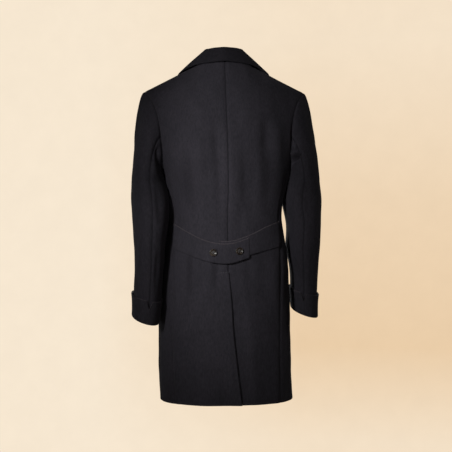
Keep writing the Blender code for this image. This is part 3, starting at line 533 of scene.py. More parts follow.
# twisted sewing thread: a tone paler than the cloth, with fine ply marks
def makeThread(name, tone):
    material, tree, shader, coords = newMaterial(name)
    ply = addNoise(tree, coords, 2200.0, (1.0, 1.0, 1.0), 2.0)
    colour = addRamp(tree, ply, ((0.35, tuple(c * 0.6 for c in tone)), (0.70, tone)))
    tree.links.new(colour, shader.inputs["Base Color"])
    shader.inputs["Roughness"].default_value = 0.7
    shader.inputs["Sheen Weight"].default_value = 0.2
    return material


woolCloth = makeWool("navyMelton")
# collar: the same melton at about half the brightness, a painted shade darkening the collar
collarCloth = makeWool("collarShadedMelton", 0.54)
buttonHorn = makeHorn("darkHorn")
seamThread = makeThread("navyThread", (0.030, 0.027, 0.033))
buttonThread = makeThread("buttonThread", (0.024, 0.021, 0.025))
print("coat: materials made")


vent = {
    "top": -0.560,                            # where the centre-back seam opens
    "edgeTop": -0.003, "edgeHem": -0.036,     # the left back's free edge
    "underTop": 0.038, "underHem": 0.011,     # the right back's underlap
    "inset": 0.0036, "ramp": 0.045, "flat": 0.020,
    "stand": 0.0036, "standReach": 0.022,     # how the free edge curls off the underlap
}


# left and right back: centre seam to side-back seam, the left lapping over the right below the vent top
def buildBacks():
    hem, chest, top = coatBody["hem"], coatBody["chest"], vent["top"]
    step = cloth["step"]
    near = np.array(cloth["edgeSteps"])
    skirt = np.linspace(hem + 0.0062, top - 0.0008, int((top - hem) / step))
    trunk = np.linspace(top + 0.0008, chest, int((chest - top) / step))
    upper = np.concatenate([np.linspace(0, 0.972, 66)[1:], [0.980, 0.987, 0.992, 0.996, 0.9988]])
    rows = np.concatenate([rowOf(np.concatenate([hem + near, skirt, trunk])), upper])
    z = rowHeight(rows)
    fall = np.clip((top - z) / (top - hem), 0, 1)
    openHere = (z < top).astype(float)
    edgeX = openHere * (vent["edgeTop"] + (vent["edgeHem"] - vent["edgeTop"]) * fall)
    underX = smoothStep((top - z) / 0.030) * (vent["underTop"] + (vent["underHem"] - vent["underTop"]) * fall)
    shift = smoothTable(coatBody["sections"], z)[:, 3]
    share = edgeShares(0.20)
    for name, sign, startX in (("back_left", 1, edgeX), ("back_right", -1, underX)):
        start = np.where(rows > 0, 0.0, columnAt("back", startX + shift, z))
        columns = start[:, None] + (sign * 0.9997 - start[:, None]) * share
        rowGrid = np.repeat(rows[:, None], share.size, axis=1)
        base = plainBody("back", columns, rowGrid)
        lift = np.zeros(columns.shape)
        if sign < 0:
            cover = smoothStep((base[..., 0] - edgeX[:, None] + vent["ramp"]) / (vent["ramp"] - vent["flat"]))
            lift = -vent["inset"] * cover * smoothStep((top + 0.060 - z) / 0.070)[:, None]
        if sign > 0:
            fromEdge = (base[..., 0] - edgeX[:, None]) / vent["standReach"]
            lift = vent["stand"] * np.exp(-fromEdge ** 2) * smoothStep((top - z) / 0.14)[:, None]
        # painted shade along the centre-back seam and the vent's lapped edge (-0.7) and the shoulder and neck seam
        # (-0.3); on the side-back seam a painted highlight on the left back (0.2) and painted shade on the right
        # (-0.4); hem slightly pale
        sideLine = 0.2 if sign > 0 else -0.4
        border, wearAndPaintedLight = borderLift(base, ((openHere[:, None], 1, -0.7), (0, 1, sideLine), (1, 1, 0.1), (0, 1, -0.3)))
        outer = bodyFace("back", columns, rowGrid, lift + border)
        inner = bodyFace("back", columns, rowGrid, lift - cloth["wall"])
        sewIn(makeWall(name + "Cloth", outer, inner, woolCloth, wearAndPaintedLight), outer)


# side bodies: rings between the side-back and side-front seams
def buildSides():
    hem, chest = coatBody["hem"], coatBody["chest"]
    z = hem + (chest - hem) * edgeShares(chest - hem)
    seam = np.radians(smoothTable(coatBody["sections"], z)[:, 4])
    share = edgeShares(0.15)
    angle = seam[:, None] + (coatBody["sideFront"] - seam)[:, None] * share
    height = np.repeat(z[:, None], share.size, axis=1)
    for name, sign in (("side_left", 1), ("side_right", -1)):
        base = ringPoint(sign * angle, height)
        around = ringPoint(sign * angle + 0.002, height) - ringPoint(sign * angle - 0.002, height)
        up = ringPoint(sign * angle, np.minimum(height + 0.002, chest)) - ringPoint(sign * angle, height - 0.002)
        normal = unit(np.cross(around, up))
        normal *= np.sign(np.sum(normal * base * np.array([1, 1, 0]), axis=-1, keepdims=True))
        arc = sign * (angle - math.pi / 2) * 0.17
        lift = creaseLift(arc, height + 0.012 * (1 - sign), coatBody["sideCreases"])
        lift = lift + creaseLift(arc, height, coatBody["sideFull"][name[5:]])
        lift = (lift + clothWander(base)) * smoothStep(share / 0.14) * smoothStep((1 - share) / 0.14)
        # painted shade along the seams, strongest at the armhole; hem slightly pale
        border, wearAndPaintedLight = borderLift(base, ((0, 1, -0.2), (0, 1, -0.3), (1, 1, 0.1), (0, 1, -0.4)))
        outer = base + normal * (lift + border)[..., None]
        inner = base + normal * (lift - cloth["wall"])[..., None]
        sewIn(makeWall(name + "Cloth", outer, inner, woolCloth, wearAndPaintedLight), outer)


frontLap = {
    "edge": 0.080,            # how far a front reaches past the centre
    "break": -0.330,          # height at which the lapel turns back
    "inset": 0.0095, "ramp": 0.070,
    "gorge": 0.74,            # share of the roll line taken by the lapel
    "lapelLay": 0.0021, "rollRise": 0.0022,
    # share of the lapel's length, sideways place and height of its outer edge
    "lapelEdge": (
        (0.00, -0.064, -0.318),
        (0.35, 0.034, -0.240),
        (0.70, 0.116, -0.155),
        (1.00, 0.170, -0.070),
    ),
}


# straight roll line from the break at the front edge up to the neck corner
def rollPlace(share):
    corner = coatBody["neckCorner"]
    x = -frontLap["edge"] + (corner[0] + frontLap["edge"]) * share
    return x, frontLap["break"] + (corner[2] - frontLap["break"]) * share


# row at which each front column meets the roll line: first sign change along a scan of rows
def rollRow(columns):
    scan = np.concatenate([np.linspace(rowOf(frontLap["break"]) - 0.02, 0.0, 40), np.linspace(0.004, 1.0, 260)])
    line = plainBody("front", columns[:, None], scan[None, :])
    corner = coatBody["neckCorner"]
    rise = (line[..., 2] - frontLap["break"]) / (corner[2] - frontLap["break"])
    beyond = -frontLap["edge"] + (corner[0] + frontLap["edge"]) * rise - line[..., 0]
    first = np.argmax(beyond >= 0, axis=1)
    spot = np.arange(columns.size)
    before = np.maximum(first - 1, 0)
    gap = beyond[spot, first] - beyond[spot, before]
    part = np.where(first > 0, -beyond[spot, before] / np.where(gap == 0, 1.0, gap), 0.0)
    found = scan[before] + (scan[first] - scan[before]) * part
    never = (columns >= coatBody["neckShare"]) | (beyond.max(axis=1) < 0)
    return np.where(never, 1.0, found)


# front panel; the right one is mirrored and sinks below the left one where it is covered
def frontFace(sign, columns, rows, lift=0.0):
    points = bodyFace("front", columns, rows, lift)
    if sign > 0:
        return points
    mirror = np.array([-1.0, 1.0, 1.0])
    points = points * mirror
    points[..., 0] += 2.0 * np.where(rows > 0, 0.0, smoothTable(coatBody["sections"], points[..., 2])[..., 3])
    cover = smoothStep((points[..., 0] + frontLap["edge"] + frontLap["ramp"]) / (frontLap["ramp"] - 0.004))
    return points - bodyNormal("front", columns, rows) * mirror * (frontLap["inset"] * cover)[..., None]


# fronts: columns from the side seam to the front edge, rows from the hem to shoulder or roll line
def buildFronts():
    hem, wall = coatBody["hem"], cloth["wall"]
    share = edgeShares(0.28)
    edgeTop = columnAt("front", -frontLap["edge"], frontLap["break"])
    columns = 0.9997 + (edgeTop - 0.9997) * share
    low = -1.0 + 0.8374 * edgeShares(0.555)
    top = np.minimum(rollRow(columns), 0.9988)
    high = np.concatenate([np.linspace(0, 0.965, 84)[1:], [0.976, 0.984, 0.990, 0.995, 1.0]])
    lowGrid = np.repeat(low[:, None], share.size, axis=1)
    rowGrid = np.concatenate([lowGrid, low[-1] + (top - low[-1]) * high[:, None]])
    edge = columnAt("front", -frontLap["edge"], rowHeight(rowGrid[:, -1]))
    columnGrid = columns + (edge - edgeTop)[:, None] * share ** 2
    shoulder = smoothStep((columns - coatBody["neckShare"]) / 0.05)[None, :]
    base = plainBody("front", columnGrid, rowGrid)
    # painted shade along the side and shoulder seams; front edge and hem slightly pale
    border, wearAndPaintedLight = borderLift(base, ((0, 1, -0.3), (1, 1, 0.2), (1, 1, 0.1), (0, shoulder, -0.3)))
    for name, sign in (("front_left", 1), ("front_right", -1)):
        outer = frontFace(sign, columnGrid, rowGrid, border)
        inner = frontFace(sign, columnGrid, rowGrid, -wall)
        sewIn(makeWall(name + "Cloth", outer, inner, woolCloth, wearAndPaintedLight), outer)


# column and row of the front at a sideways place and height, by Newton steps on the whole grid
def frontCell(x, z):
    x, z = np.broadcast_arrays(np.asarray(x, float), np.asarray(z, float))
    chest = coatBody["chest"]
    column = x / 0.190
    row = np.where(z < chest, rowOf(z), (z - chest) / (coatBody["neckCorner"][2] - chest))
    step = 0.003
    for _ in range(30):
        here = plainBody("front", column, row)
        across = (plainBody("front", column + step, row) - here) / step
        up = (here - plainBody("front", column, row - step)) / step
        missX, missZ = x - here[..., 0], z - here[..., 2]
        area = across[..., 0] * up[..., 2] - up[..., 0] * across[..., 2]
        area = np.where(np.abs(area) < 1e-4, 1e-4, area)
        column = column + np.clip((missX * up[..., 2] - up[..., 0] * missZ) / area, -0.1, 0.1)
        rowStep = np.clip((across[..., 0] * missZ - missX * across[..., 2]) / area, -0.1, 0.1)
        row = np.clip(row + rowStep, -1, 0.9995)
    return column, row


# lapels: straight lines from the roll line to the outer edge, laid on the front
def buildLapels():
    along = edgeShares(0.34)
    out = edgeShares(0.10)
    innerX, innerZ = rollPlace(along * frontLap["gorge"])
    edge = smoothTable(frontLap["lapelEdge"], along)
    x = innerX[:, None] + (edge[:, 0] - innerX)[:, None] * out
    z = innerZ[:, None] + (edge[:, 1] - innerZ)[:, None] * out
    columns, rows = frontCell(x, z)
    base = plainBody("front", columns, rows)
    roll = frontLap["rollRise"] * smoothStep((along - 0.80) / 0.2)[:, None] * (1 - out) ** 2
    # lapel's outer edge slightly pale, painted shade along the seam at its top
    border, wearAndPaintedLight = borderLift(base, ((1, 1, 0), (1, 1, 0.2), (1, 1, 0.1), (0, 1, -0.3)))
    for name, sign in (("lapel_left", 1), ("lapel_right", -1)):
        outer = frontFace(sign, columns, rows, frontLap["lapelLay"] + cloth["wall"] + roll + border)
        inner = frontFace(sign, columns, rows, frontLap["lapelLay"] + roll)
        sewIn(makeWall(name + "Cloth", outer, inner, woolCloth, wearAndPaintedLight), outer)


collarShape = {
    "rollRadius": 0.0036, "bulge": 0.0015, "bulgeFront": 0.0090,
    "tuckDown": 0.0045, "tuckIn": 0.0044,   # foot turned inside the neck seam, behind the neck
    "point": (0.128, -0.062),               # sideways place and height of the fall's corner
    # share of the half collar from centre back, roll point
    "roll": (
        (0.00, 0.000, 0.062, 0.060),
        (0.25, 0.036, 0.050, 0.059),
        (0.50, 0.052, 0.016, 0.056),
        (0.75, 0.055, -0.032, 0.013),
        (1.00, 0.044, -0.074, -0.054),
    ),
    # share, column and row of the panel below the fall's edge, height above it
    "fallBack": ((0.00, 0.00, 0.960, 0.0120), (0.25, 0.33, 0.930, 0.0080), (0.50, 0.58, 0.999, 0.0050)),
    "fallFront": ((0.50, 0.58, 0.999, 0.0050), (0.75, 0.62, 0.860, 0.0070), (1.00, 0.57, 0.730, 0.0070)),
}


# running mean along a line of points, weighted to the middle, with both ends kept in place
def softLine(line, reach):
    padded = np.concatenate([2 * line[0] - line[reach:0:-1], line, 2 * line[-1] - line[-2:-reach - 2:-1]])
    weight = np.hanning(2 * reach + 3)[1:-1]
    return np.stack([np.convolve(padded[:, i], weight / weight.sum(), "valid") for i in range(3)], axis=-1)


# half collar: stand from inside the neck seam up, half circle over the roll, fall with a slight bulge
def collarHalf(share):
    roll = smoothTable(collarShape["roll"], share)
    atBack = (share <= 0.5)[:, None]
    late = smoothStep((share - 0.5) / 0.5) * smoothStep((share - 0.5) / 0.25)
    more = collarShape["bulgeFront"] - collarShape["bulge"]
    bulge = collarShape["bulge"] + more * smoothStep((share - 0.55) / 0.25)
    neck = np.clip(share / 0.5, 0, 1) * coatBody["neckShare"]
    top = np.ones(share.size)
    down = (1.0 - frontLap["gorge"] - 0.014) * np.clip(share / 0.5 - 1.0, 0, 1)
    lineColumn, lineRow = frontCell(*rollPlace(1.0 - down))
    seat = np.where(atBack, plainBody("back", neck, top), plainBody("front", lineColumn, lineRow))
    normal = np.where(atBack, bodyNormal("back", neck, top), bodyNormal("front", lineColumn, lineRow))
    into = unit(np.cross(np.gradient(seat, axis=0), normal))
    into = into * np.sign(np.sum(into * (roll - seat), axis=1, keepdims=True))
    stand = unit(seat * np.array([1.0, 1.0, 0.0]) - np.array([0.0, -0.010, 0.0]))
    clear = 0.0001 + 0.0039 * smoothStep((share - 0.38) / 0.12)[:, None]
    base = seat + into * clear - stand * cloth["wall"]
    backEnd, frontEnd = smoothTable(collarShape["fallBack"], share), smoothTable(collarShape["fallFront"], share)
    pointColumn, pointRow = frontCell(*collarShape["point"])
    frontColumn = frontEnd[:, 0] + (pointColumn - collarShape["fallFront"][-1][1]) * late
    frontRow = frontEnd[:, 1] + (pointRow - collarShape["fallFront"][-1][2]) * late
    edge = np.where(atBack, bodyFace("back", backEnd[:, 0], backEnd[:, 1], backEnd[:, 2]),
                    bodyFace("front", frontColumn, frontRow, frontEnd[:, 2]))
    edge = softLine(edge, 9)
    up = unit(roll - base)
    outward = edge - roll
    outward = unit(outward - np.sum(outward * up, axis=1, keepdims=True) * up)
    radius = collarShape["rollRadius"]
    centre = roll + outward * radius
    start = centre + outward * radius
    face = unit(np.cross(np.gradient(roll, axis=0), edge - start))
    face = face * np.sign(np.sum(face * stand, axis=1, keepdims=True))
    rise = np.linspace(0, 1, 10)[:-1, None, None]
    turn = np.linspace(0, math.pi, 12)[:-1, None, None]
    drop = edgeShares(0.045)[:, None, None]
    tuck = (1 - smoothStep((share - 0.34) / 0.10))[:, None] * (1 - rise) ** 2
    standPart = base + (roll - base) * rise - tuck * (up * collarShape["tuckDown"] + stand * collarShape["tuckIn"])
    rollPart = centre - outward * radius * np.cos(turn) + up * radius * np.sin(turn)
    fallPart = start + (edge - start) * drop + face * bulge[:, None] * np.sin(math.pi * drop)
    return np.concatenate([standPart, rollPart, fallPart]), len(rise) + len(turn)


# collar: the half and its mirror image in one folded piece
def buildCollar():
    share = 1.0 - edgeShares(0.22, 0.0036)[::-1]
    share = np.concatenate([[0.0], share[share > 0.012]])
    half, fallStart = collarHalf(share)
    points = np.concatenate([half[:, :0:-1] * np.array([-1.0, 1.0, 1.0]), half], axis=1)
    normal = unit(np.cross(np.gradient(points, axis=1), np.gradient(points, axis=0)))
    away = points[fallStart:] * np.array([1.0, 1.0, 0.0])
    normal = normal * np.sign(np.sum(normal[fallStart:] * away))
    # collar ends slightly pale; painted shade along the neck seam and under the fall's edge
    border, wearAndPaintedLight = borderLift(points, ((1, 1, 0.1), (1, 1, 0.1), (0, 1, -0.3), (1, 1, -0.2)))
    lift = border + 0.6 * clothWander(points)
    outer = points + normal * lift[..., None]
    inner = points - normal * cloth["wall"]
    sewIn(makeWall("collarCloth", outer, inner, collarCloth, wearAndPaintedLight), outer)


sleeves = {
    "power": 2.2,
    "hind": math.radians(100.0), "fore": math.radians(236.0),
    "underReach": 0.034, "headSpread": 0.030, "headDrop": 0.020,
    "tuck": 0.0024,               # how far the head reaches under the armhole edge
    "tiltAcross": 0.012, "tiltBack": 0.010,
    "left": {
        "headReach": 0.070,
        # height, centre across, centre depth, half width, half depth
        "rings": (
            (-0.310, 0.2228, 0.014, 0.0442, 0.076),
            (-0.360, 0.2177, 0.036, 0.0508, 0.074),
            (-0.430, 0.2152, 0.053, 0.0493, 0.071),
            (-0.500, 0.2166, 0.058, 0.0426, 0.066),
            (-0.560, 0.2181, 0.058, 0.0396, 0.062),
            (-0.630, 0.2220, 0.056, 0.0375, 0.058),
            (-0.690, 0.2278, 0.054, 0.0352, 0.056),
        ),
        # start arc from the hind seam (towards the body is positive), z, end arc, z, half width, depth, bow, skew
        "creases": (
            (0.006, -0.212, 0.044, -0.274, 0.0044, -0.0080, 0.006, 0.9),
            (0.014, -0.204, 0.046, -0.258, 0.0062, 0.0034, 0.005, 1.0),
            (0.004, -0.248, 0.036, -0.300, 0.0090, 0.0024, 0.004, 0.9),
            (-0.020, -0.140, -0.016, -0.300, 0.0120, 0.0033, -0.004, 1.0),
            (-0.036, -0.180, -0.030, -0.420, 0.0140, -0.0033, 0.004, 0.9),
            (0.012, -0.300, 0.020, -0.450, 0.0110, -0.0036, -0.003, 1.1),
            (-0.058, -0.320, -0.012, -0.376, 0.0090, -0.0024, 0.004, 1.0),
            (-0.030, -0.420, 0.030, -0.462, 0.0090, -0.0030, -0.004, 0.9),
            (-0.010, -0.470, 0.036, -0.500, 0.0080, -0.0024, 0.004, 1.1),
            (-0.040, -0.440, -0.034, -0.610, 0.0120, 0.0027, 0.003, 0.9),
            (0.022, -0.490, 0.018, -0.640, 0.0100, -0.0027, -0.002, 0.8),
            (-0.016, -0.540, -0.014, -0.640, 0.0090, -0.0019, 0.002, 1.2),
            (-0.120, -0.330, -0.170, -0.380, 0.0110, -0.0039, 0.004, 1.0),
            (-0.130, -0.420, -0.180, -0.450, 0.0090, -0.0033, -0.004, 0.9),
            (-0.100, -0.160, -0.110, -0.330, 0.0150, -0.0030, 0.004, 1.0),
            (0.080, -0.330, 0.140, -0.360, 0.0100, -0.0033, 0.003, 1.0),
            (0.078, -0.212, 0.078, -0.450, 0.0340, 0.0060, 0.0, 0.75),
        ),
    },
    "right": {
        "headReach": 0.046,
        "rings": (
            (-0.310, 0.2230, 0.000, 0.0450, 0.076),
            (-0.360, 0.2208, -0.014, 0.0548, 0.074),
            (-0.430, 0.2258, -0.018, 0.0497, 0.071),
            (-0.500, 0.2240, -0.022, 0.0485, 0.066),
            (-0.560, 0.2261, -0.026, 0.0411, 0.062),
            (-0.630, 0.2268, -0.028, 0.0373, 0.058),
            (-0.680, 0.2291, -0.030, 0.0361, 0.056),
        ),
        "creases": (
            (0.050, -0.268, -0.010, -0.232, 0.0052, -0.0210, 0.004, 1.1),
            (0.044, -0.250, -0.006, -0.216, 0.0066, 0.0100, 0.003, 1.1),
            (0.040, -0.294, 0.002, -0.250, 0.0090, 0.0034, 0.003, 1.0),
            (0.012, -0.150, 0.010, -0.236, 0.0075, -0.0040, 0.002, 0.9),
            (-0.006, -0.270, -0.012, -0.470, 0.0110, -0.0042, 0.004, 0.8),
            (0.016, -0.280, 0.012, -0.440, 0.0120, 0.0033, -0.003, 0.9),
            (-0.034, -0.150, -0.038, -0.330, 0.0130, -0.0030, -0.004, 1.0),
            (-0.050, -0.330, -0.006, -0.392, 0.0090, -0.0027, 0.004, 1.0),
            (0.034, -0.400, -0.020, -0.440, 0.0090, -0.0033, 0.004, 1.0),
            (0.030, -0.452, -0.024, -0.486, 0.0080, -0.0027, -0.003, 0.9),
            (-0.036, -0.460, -0.030, -0.620, 0.0120, -0.0027, 0.003, 0.8),
            (0.014, -0.500, 0.012, -0.630, 0.0100, 0.0024, 0.002, 1.1),
            (-0.125, -0.350, -0.172, -0.396, 0.0110, -0.0039, 0.004, 1.0),
            (-0.118, -0.440, -0.176, -0.470, 0.0090, -0.0030, -0.004, 1.1),
            (-0.095, -0.170, -0.105, -0.340, 0.0150, -0.0030, 0.004, 1.0),
            (0.078, -0.340, 0.136, -0.372, 0.0100, -0.0030, 0.003, 1.0),
            (0.078, -0.212, 0.078, -0.400, 0.0340, 0.0060, 0.0, 0.80),
        ),
    },
}


# armhole loop by arc length: shoulder, back edge, underarm, front edge
def armhole(turn):
    fine = np.linspace(0.0, 1.0, 200)
    one = np.ones(200)
    seam = math.radians(coatBody["sections"][-1][5])
    under = ringPoint(seam + (coatBody["sideFront"] - seam) * fine, coatBody["chest"] * one)
    loop = np.concatenate([plainBody("back", one, fine[::-1])[:-1], under[:-1], plainBody("front", one, fine)])
    length = np.concatenate([[0.0], np.cumsum(np.linalg.norm(np.diff(loop, axis=0), axis=1))])
    share = np.mod(turn / (2 * math.pi), 1.0)
    return np.stack([np.interp(share, length / length[-1], loop[:, i]) for i in range(3)], axis=-1)


# sleeve section: a superellipse at a height, cut at a slant towards the cuff
def sleeveRing(hand, turn, z, sign):
    rings = sleeves[hand]["rings"]
    across, depth, half, deep = np.moveaxis(smoothTable(rings, z), -1, 0)
    c, s, power = np.cos(turn), np.sin(turn), sleeves["power"]
    reach = (np.abs(c) ** power + np.abs(s) ** power) ** (-1.0 / power)
    slant = smoothStep((z - rings[2][0]) / (rings[-1][0] - rings[2][0]))
    rise = slant * (sign * sleeves["tiltAcross"] * c - sleeves["tiltBack"] * s)
    return np.stack([across + half * c * reach, depth + deep * s * reach, z + rise], axis=-1)


# sleeve surface: place 0 to 1 is a cubic head out of the armhole, 1 to 2 runs down to the cuff
def sleeveFace(hand, turn, place, sign):
    turn, place = np.broadcast_arrays(turn, place)
    top, end = sleeves[hand]["rings"][0][0], sleeves[hand]["rings"][-1][0]
    tube = sleeveRing(hand, turn, top + np.clip(place - 1.0, 0, 1) * (end - top), sign)
    start = armhole(turn)
    first = sleeveRing(hand, turn, np.full(turn.shape, top), sign)
    high = np.cos(turn / 2) ** 2
    aside = sleeves[hand]["headReach"] * high + sleeves["underReach"] * (1.0 - high)
    spread, drop = sleeves["headSpread"] * np.sin(turn), np.full(turn.shape, -sleeves["headDrop"])
    leave = np.stack([aside, spread, drop], axis=-1)
    arrive = np.stack([0.010 * np.cos(turn), 0.0 * turn, -1.35 * (start[..., 2] - first[..., 2])], axis=-1)
    head = hermite(start - unit(leave) * sleeves["tuck"], leave, first, arrive, np.clip(place, 0, 1))
    return np.where(place[..., None] < 1.0, head, tube)


# two-piece sleeves: upper and under part between the fore and hind seams, with creases along the normal
def buildSleeves():
    head = np.concatenate([[0.0, 0.004, 0.010, 0.020, 0.036], np.linspace(0.056, 1.0, 80)])
    place = np.concatenate([head, np.linspace(1.0, 2.0, 94)[1:]])[:, None]
    hind, fore = sleeves["hind"], sleeves["fore"]
    for hand, sign in (("left", 1), ("right", -1)):
        mirror = np.array([sign, 1.0, 1.0])
        upper = fore - 2 * math.pi + (hind - fore + 2 * math.pi) * edgeShares(0.215)
        under = hind + (fore - hind) * edgeShares(0.145, 0.0026)
        for part, turn in (("upper", upper[None, :]), ("under", under[None, :])):
            base = sleeveFace(hand, turn, place, sign)
            around = sleeveFace(hand, turn + 0.004, place, sign) - sleeveFace(hand, turn - 0.004, place, sign)
            down = sleeveFace(hand, turn, np.minimum(place + 0.004, 2.0), sign)
            down = down - sleeveFace(hand, turn, np.maximum(place - 0.004, 0.0), sign)
            normal = unit(np.cross(down, around))
            arc = (turn + 0 * place - hind) * 0.056
            fade = smoothStep(place / 0.14)
            lift = fade * creaseLift(arc, base[..., 2], sleeves[hand]["creases"])
            lift = lift + fade * clothWander(base + sign * 0.3, 0.0005)
            # painted shade along the fore and hind seams and the armhole
            border, wearAndPaintedLight = borderLift(base, ((0, 1, -0.5), (0, 1, -0.5), (0, 1, -0.6), (1, 0.5, 0)))
            outer = (base + normal * (lift + border)[..., None]) * mirror
            inner = (base + normal * (lift - cloth["wall"])[..., None]) * mirror
            sewIn(makeWall(f"sleeve_{part}_{hand}Cloth", outer, inner, woolCloth, wearAndPaintedLight), outer)
        buildCuff(hand, sign, mirror)


cuffs = {"tall": 0.062, "flare": 0.0045, "notchTurn": math.radians(11.0), "notchDeep": 0.023}


# turned-back cuff: a band standing off the sleeve end, dipping in a V at the hind seam
def buildCuff(hand, sign, mirror):
    hind, notch = sleeves["hind"], cuffs["notchTurn"]
    coarse = np.linspace(hind + notch * 1.35, hind - notch * 1.35 + 2 * math.pi, 84)
    fine = hind + notch * np.array([-1.25, -1.12, -1.04, -0.98, -0.88, -0.7, -0.5, -0.3, -0.14, -0.05, 0.0])
    turn = np.concatenate([coarse, fine + 2 * math.pi, (2 * hind - fine[:-1])[::-1] + 2 * math.pi])
    away = np.abs(np.mod(turn - hind + math.pi, 2 * math.pi) - math.pi) / notch
    tall = cuffs["tall"] - cuffs["notchDeep"] * np.clip(1.0 - away, 0, 1)
    share = edgeShares(cuffs["tall"], 0.004)[:, None]
    z = sleeves[hand]["rings"][-1][0] - 0.0012 + share * tall
    turnGrid = np.repeat(turn[None, :], share.size, axis=0)
    base = sleeveRing(hand, turnGrid, z, sign)
    base[..., 2] += np.minimum(z - sleeves[hand]["rings"][-1][0], 0.0)
    axis = smoothTable(sleeves[hand]["rings"], z)
    aside = base[..., :2] - axis[..., :2]
    out = unit(np.concatenate([aside / axis[..., 2:4] ** 2, np.zeros(z.shape + (1,))], axis=-1))
    lift = cloth["lay"] + cloth["wall"] + share ** 2 * cuffs["flare"] * (0.55 + 0.45 * np.cos(turn))
    lift = lift + clothWander(base - sign * 0.2, 0.0004) * share
    # top edge pale: a painted highlight where the edge faces up
    border, wearAndPaintedLight = borderLift(base, ((0, 0, 0), (0, 0, 0), (1, 1, 0), (1, 1, 0.4)))
    outer = (base + out * (lift + border)[..., None]) * mirror
    inner = (base + out * (lift - cloth["wall"])[..., None]) * mirror
    sewIn(makeWall(f"cuff_{hand}Cloth", outer, inner, woolCloth, wearAndPaintedLight, ring=True), outer)


halfBelt = {
    "sewn": 0.152, "leftEnd": -0.056, "rightEnd": 0.027, "rightRise": 0.007,
    "slack": 0.0042,          # how far the lower edge hangs off the back
    # sideways place, height of its middle, half height
    "line": (
        (-0.155, -0.462, 0.036),
        (-0.115, -0.474, 0.034),
        (-0.060, -0.494, 0.028),
        (0.000, -0.511, 0.0275),
        (0.060, -0.504, 0.0285),
        (0.115, -0.481, 0.032),
        (0.155, -0.460, 0.036),
    ),
}


# point of the back below the half-belt: along is the sideways place, across from its lower to its upper edge
def beltFace(along, across, lift, rise):
    line = smoothTable(halfBelt["line"], along)
    z = line[..., 0] + rise + across * line[..., 1]
    columns = np.clip(columnAt("back", along, z), -0.985, 0.985)
    return bodyFace("back", columns, rowOf(z), lift)


# how far the left half-belt stands off the back: it steps up over the end of the right one
def beltStep(along):
    stepUp = smoothStep((halfBelt["rightEnd"] + 0.030 - along) / 0.022)
    return cloth["lay"] + (cloth["wall"] + 0.0006) * stepUp


# slack of the half-belt: none at its upper edge and sewn ends, most at the middle of its lower edge
def beltSlack(along, across):
    return halfBelt["slack"] * (1 - across) / 2 * (1 - smoothStep((np.abs(along) - 0.03) / 0.11))


# half-belt: two straps laid on the back, the left lapping over the right
def buildBelt():
    across = (edgeShares(0.060) * 2 - 1)[:, None]
    sewn, wall = halfBelt["sewn"], cloth["wall"]
    leftX = (sewn + (halfBelt["leftEnd"] - sewn) * edgeShares(0.21))[None, :]
    rightX = (halfBelt["rightEnd"] + (-sewn - halfBelt["rightEnd"]) * edgeShares(0.18))[None, :]
    laid = (("half_belt_left", leftX, beltStep(leftX), 0.0, ((0, 1, 0), (1, 1, 0.2))),
            ("half_belt_right", rightX, cloth["lay"], halfBelt["rightRise"], ((1, 1, 0), (0, 1, 0))))
    for name, along, lay, rise, ends in laid:
        x, y = np.broadcast_arrays(along, across)
        # painted highlight on the top edge (0.8), painted shade on the lower edge (-0.3), lap end slightly pale
        border, wearAndPaintedLight = borderLift(beltFace(x, y, 0.0, rise), ends + ((1, 1, -0.3), (1, 1, 0.8)))
        lay = lay + beltSlack(x, y)
        outer = beltFace(x, y, lay + wall + border, rise)
        inner = beltFace(x, y, lay, rise)
        sewIn(makeWall(name + "Cloth", outer, inner, woolCloth, wearAndPaintedLight), outer)


# tube round a set of paths: circles of the given radius across each path's direction
def tubes(paths, upward, radius, sides=6):
    along = unit(np.gradient(paths, axis=1))
    aside = unit(np.cross(along, upward))
    rise = np.cross(aside, along)
    turn = np.linspace(0, 2 * math.pi, sides + 1)[:-1]
    circle = aside[..., None, :] * np.cos(turn)[:, None] + rise[..., None, :] * np.sin(turn)[:, None]
    points = paths[..., None, :] + circle * radius[..., None, None]
    count, length = paths.shape[:2]
    index = np.arange(count * length * sides).reshape(count, length, sides)
    ring = np.concatenate([index, index[..., :1]], axis=2)
    faces = np.stack([ring[:, :-1, :-1], ring[:, 1:, :-1], ring[:, 1:, 1:], ring[:, :-1, 1:]], axis=-1)
    ends = np.concatenate([index[:, 0], index[:, -1, ::-1]]).tolist()
    return points.reshape(-1, 3), faces.reshape(-1, 4), ends


stitches = {"pitch": 0.0042, "length": 0.0031, "radius": 0.00042}


# row of sunk stitches along a line: short bowed tubes, one every pitch
def stitchRow(name, line, normal, material):
    length = np.concatenate([[0.0], np.cumsum(np.linalg.norm(np.diff(line, axis=0), axis=1))])
    count = int(length[-1] / stitches["pitch"])
    middle = (np.arange(count) + 0.5) * length[-1] / count
    place = middle[:, None] + np.linspace(-0.5, 0.5, 6) * stitches["length"]
    paths = np.stack([np.interp(place, length, line[:, i]) for i in range(3)], axis=-1)
    upward = unit(np.stack([np.interp(place, length, normal[:, i]) for i in range(3)], axis=-1))
    bow = np.sin(math.pi * np.linspace(0, 1, 6))
    paths = paths + upward * (stitches["radius"] * (1.5 * bow - 0.9))[None, :, None]
    radius = np.broadcast_to(stitches["radius"] * (0.55 + 0.45 * bow), paths.shape[:2])
    points, faces, ends = tubes(paths, upward, radius)
    piece = makeMesh(name, leanOver(points), faces, material, ends=ends)
    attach(piece, "root")


# stitching across the top of the vent, holding the underlap
def buildVentStitch():
    share = np.linspace(0, 1, 16)
    ventX, ventZ = 0.030 - 0.032 * share, vent["top"] - 0.004 + 0.003 * share
    column, row = columnAt("back", ventX, ventZ), rowOf(ventZ)
    stitchRow("ventStitch", bodyFace("back", column, row), bodyNormal("back", column, row), seamThread)


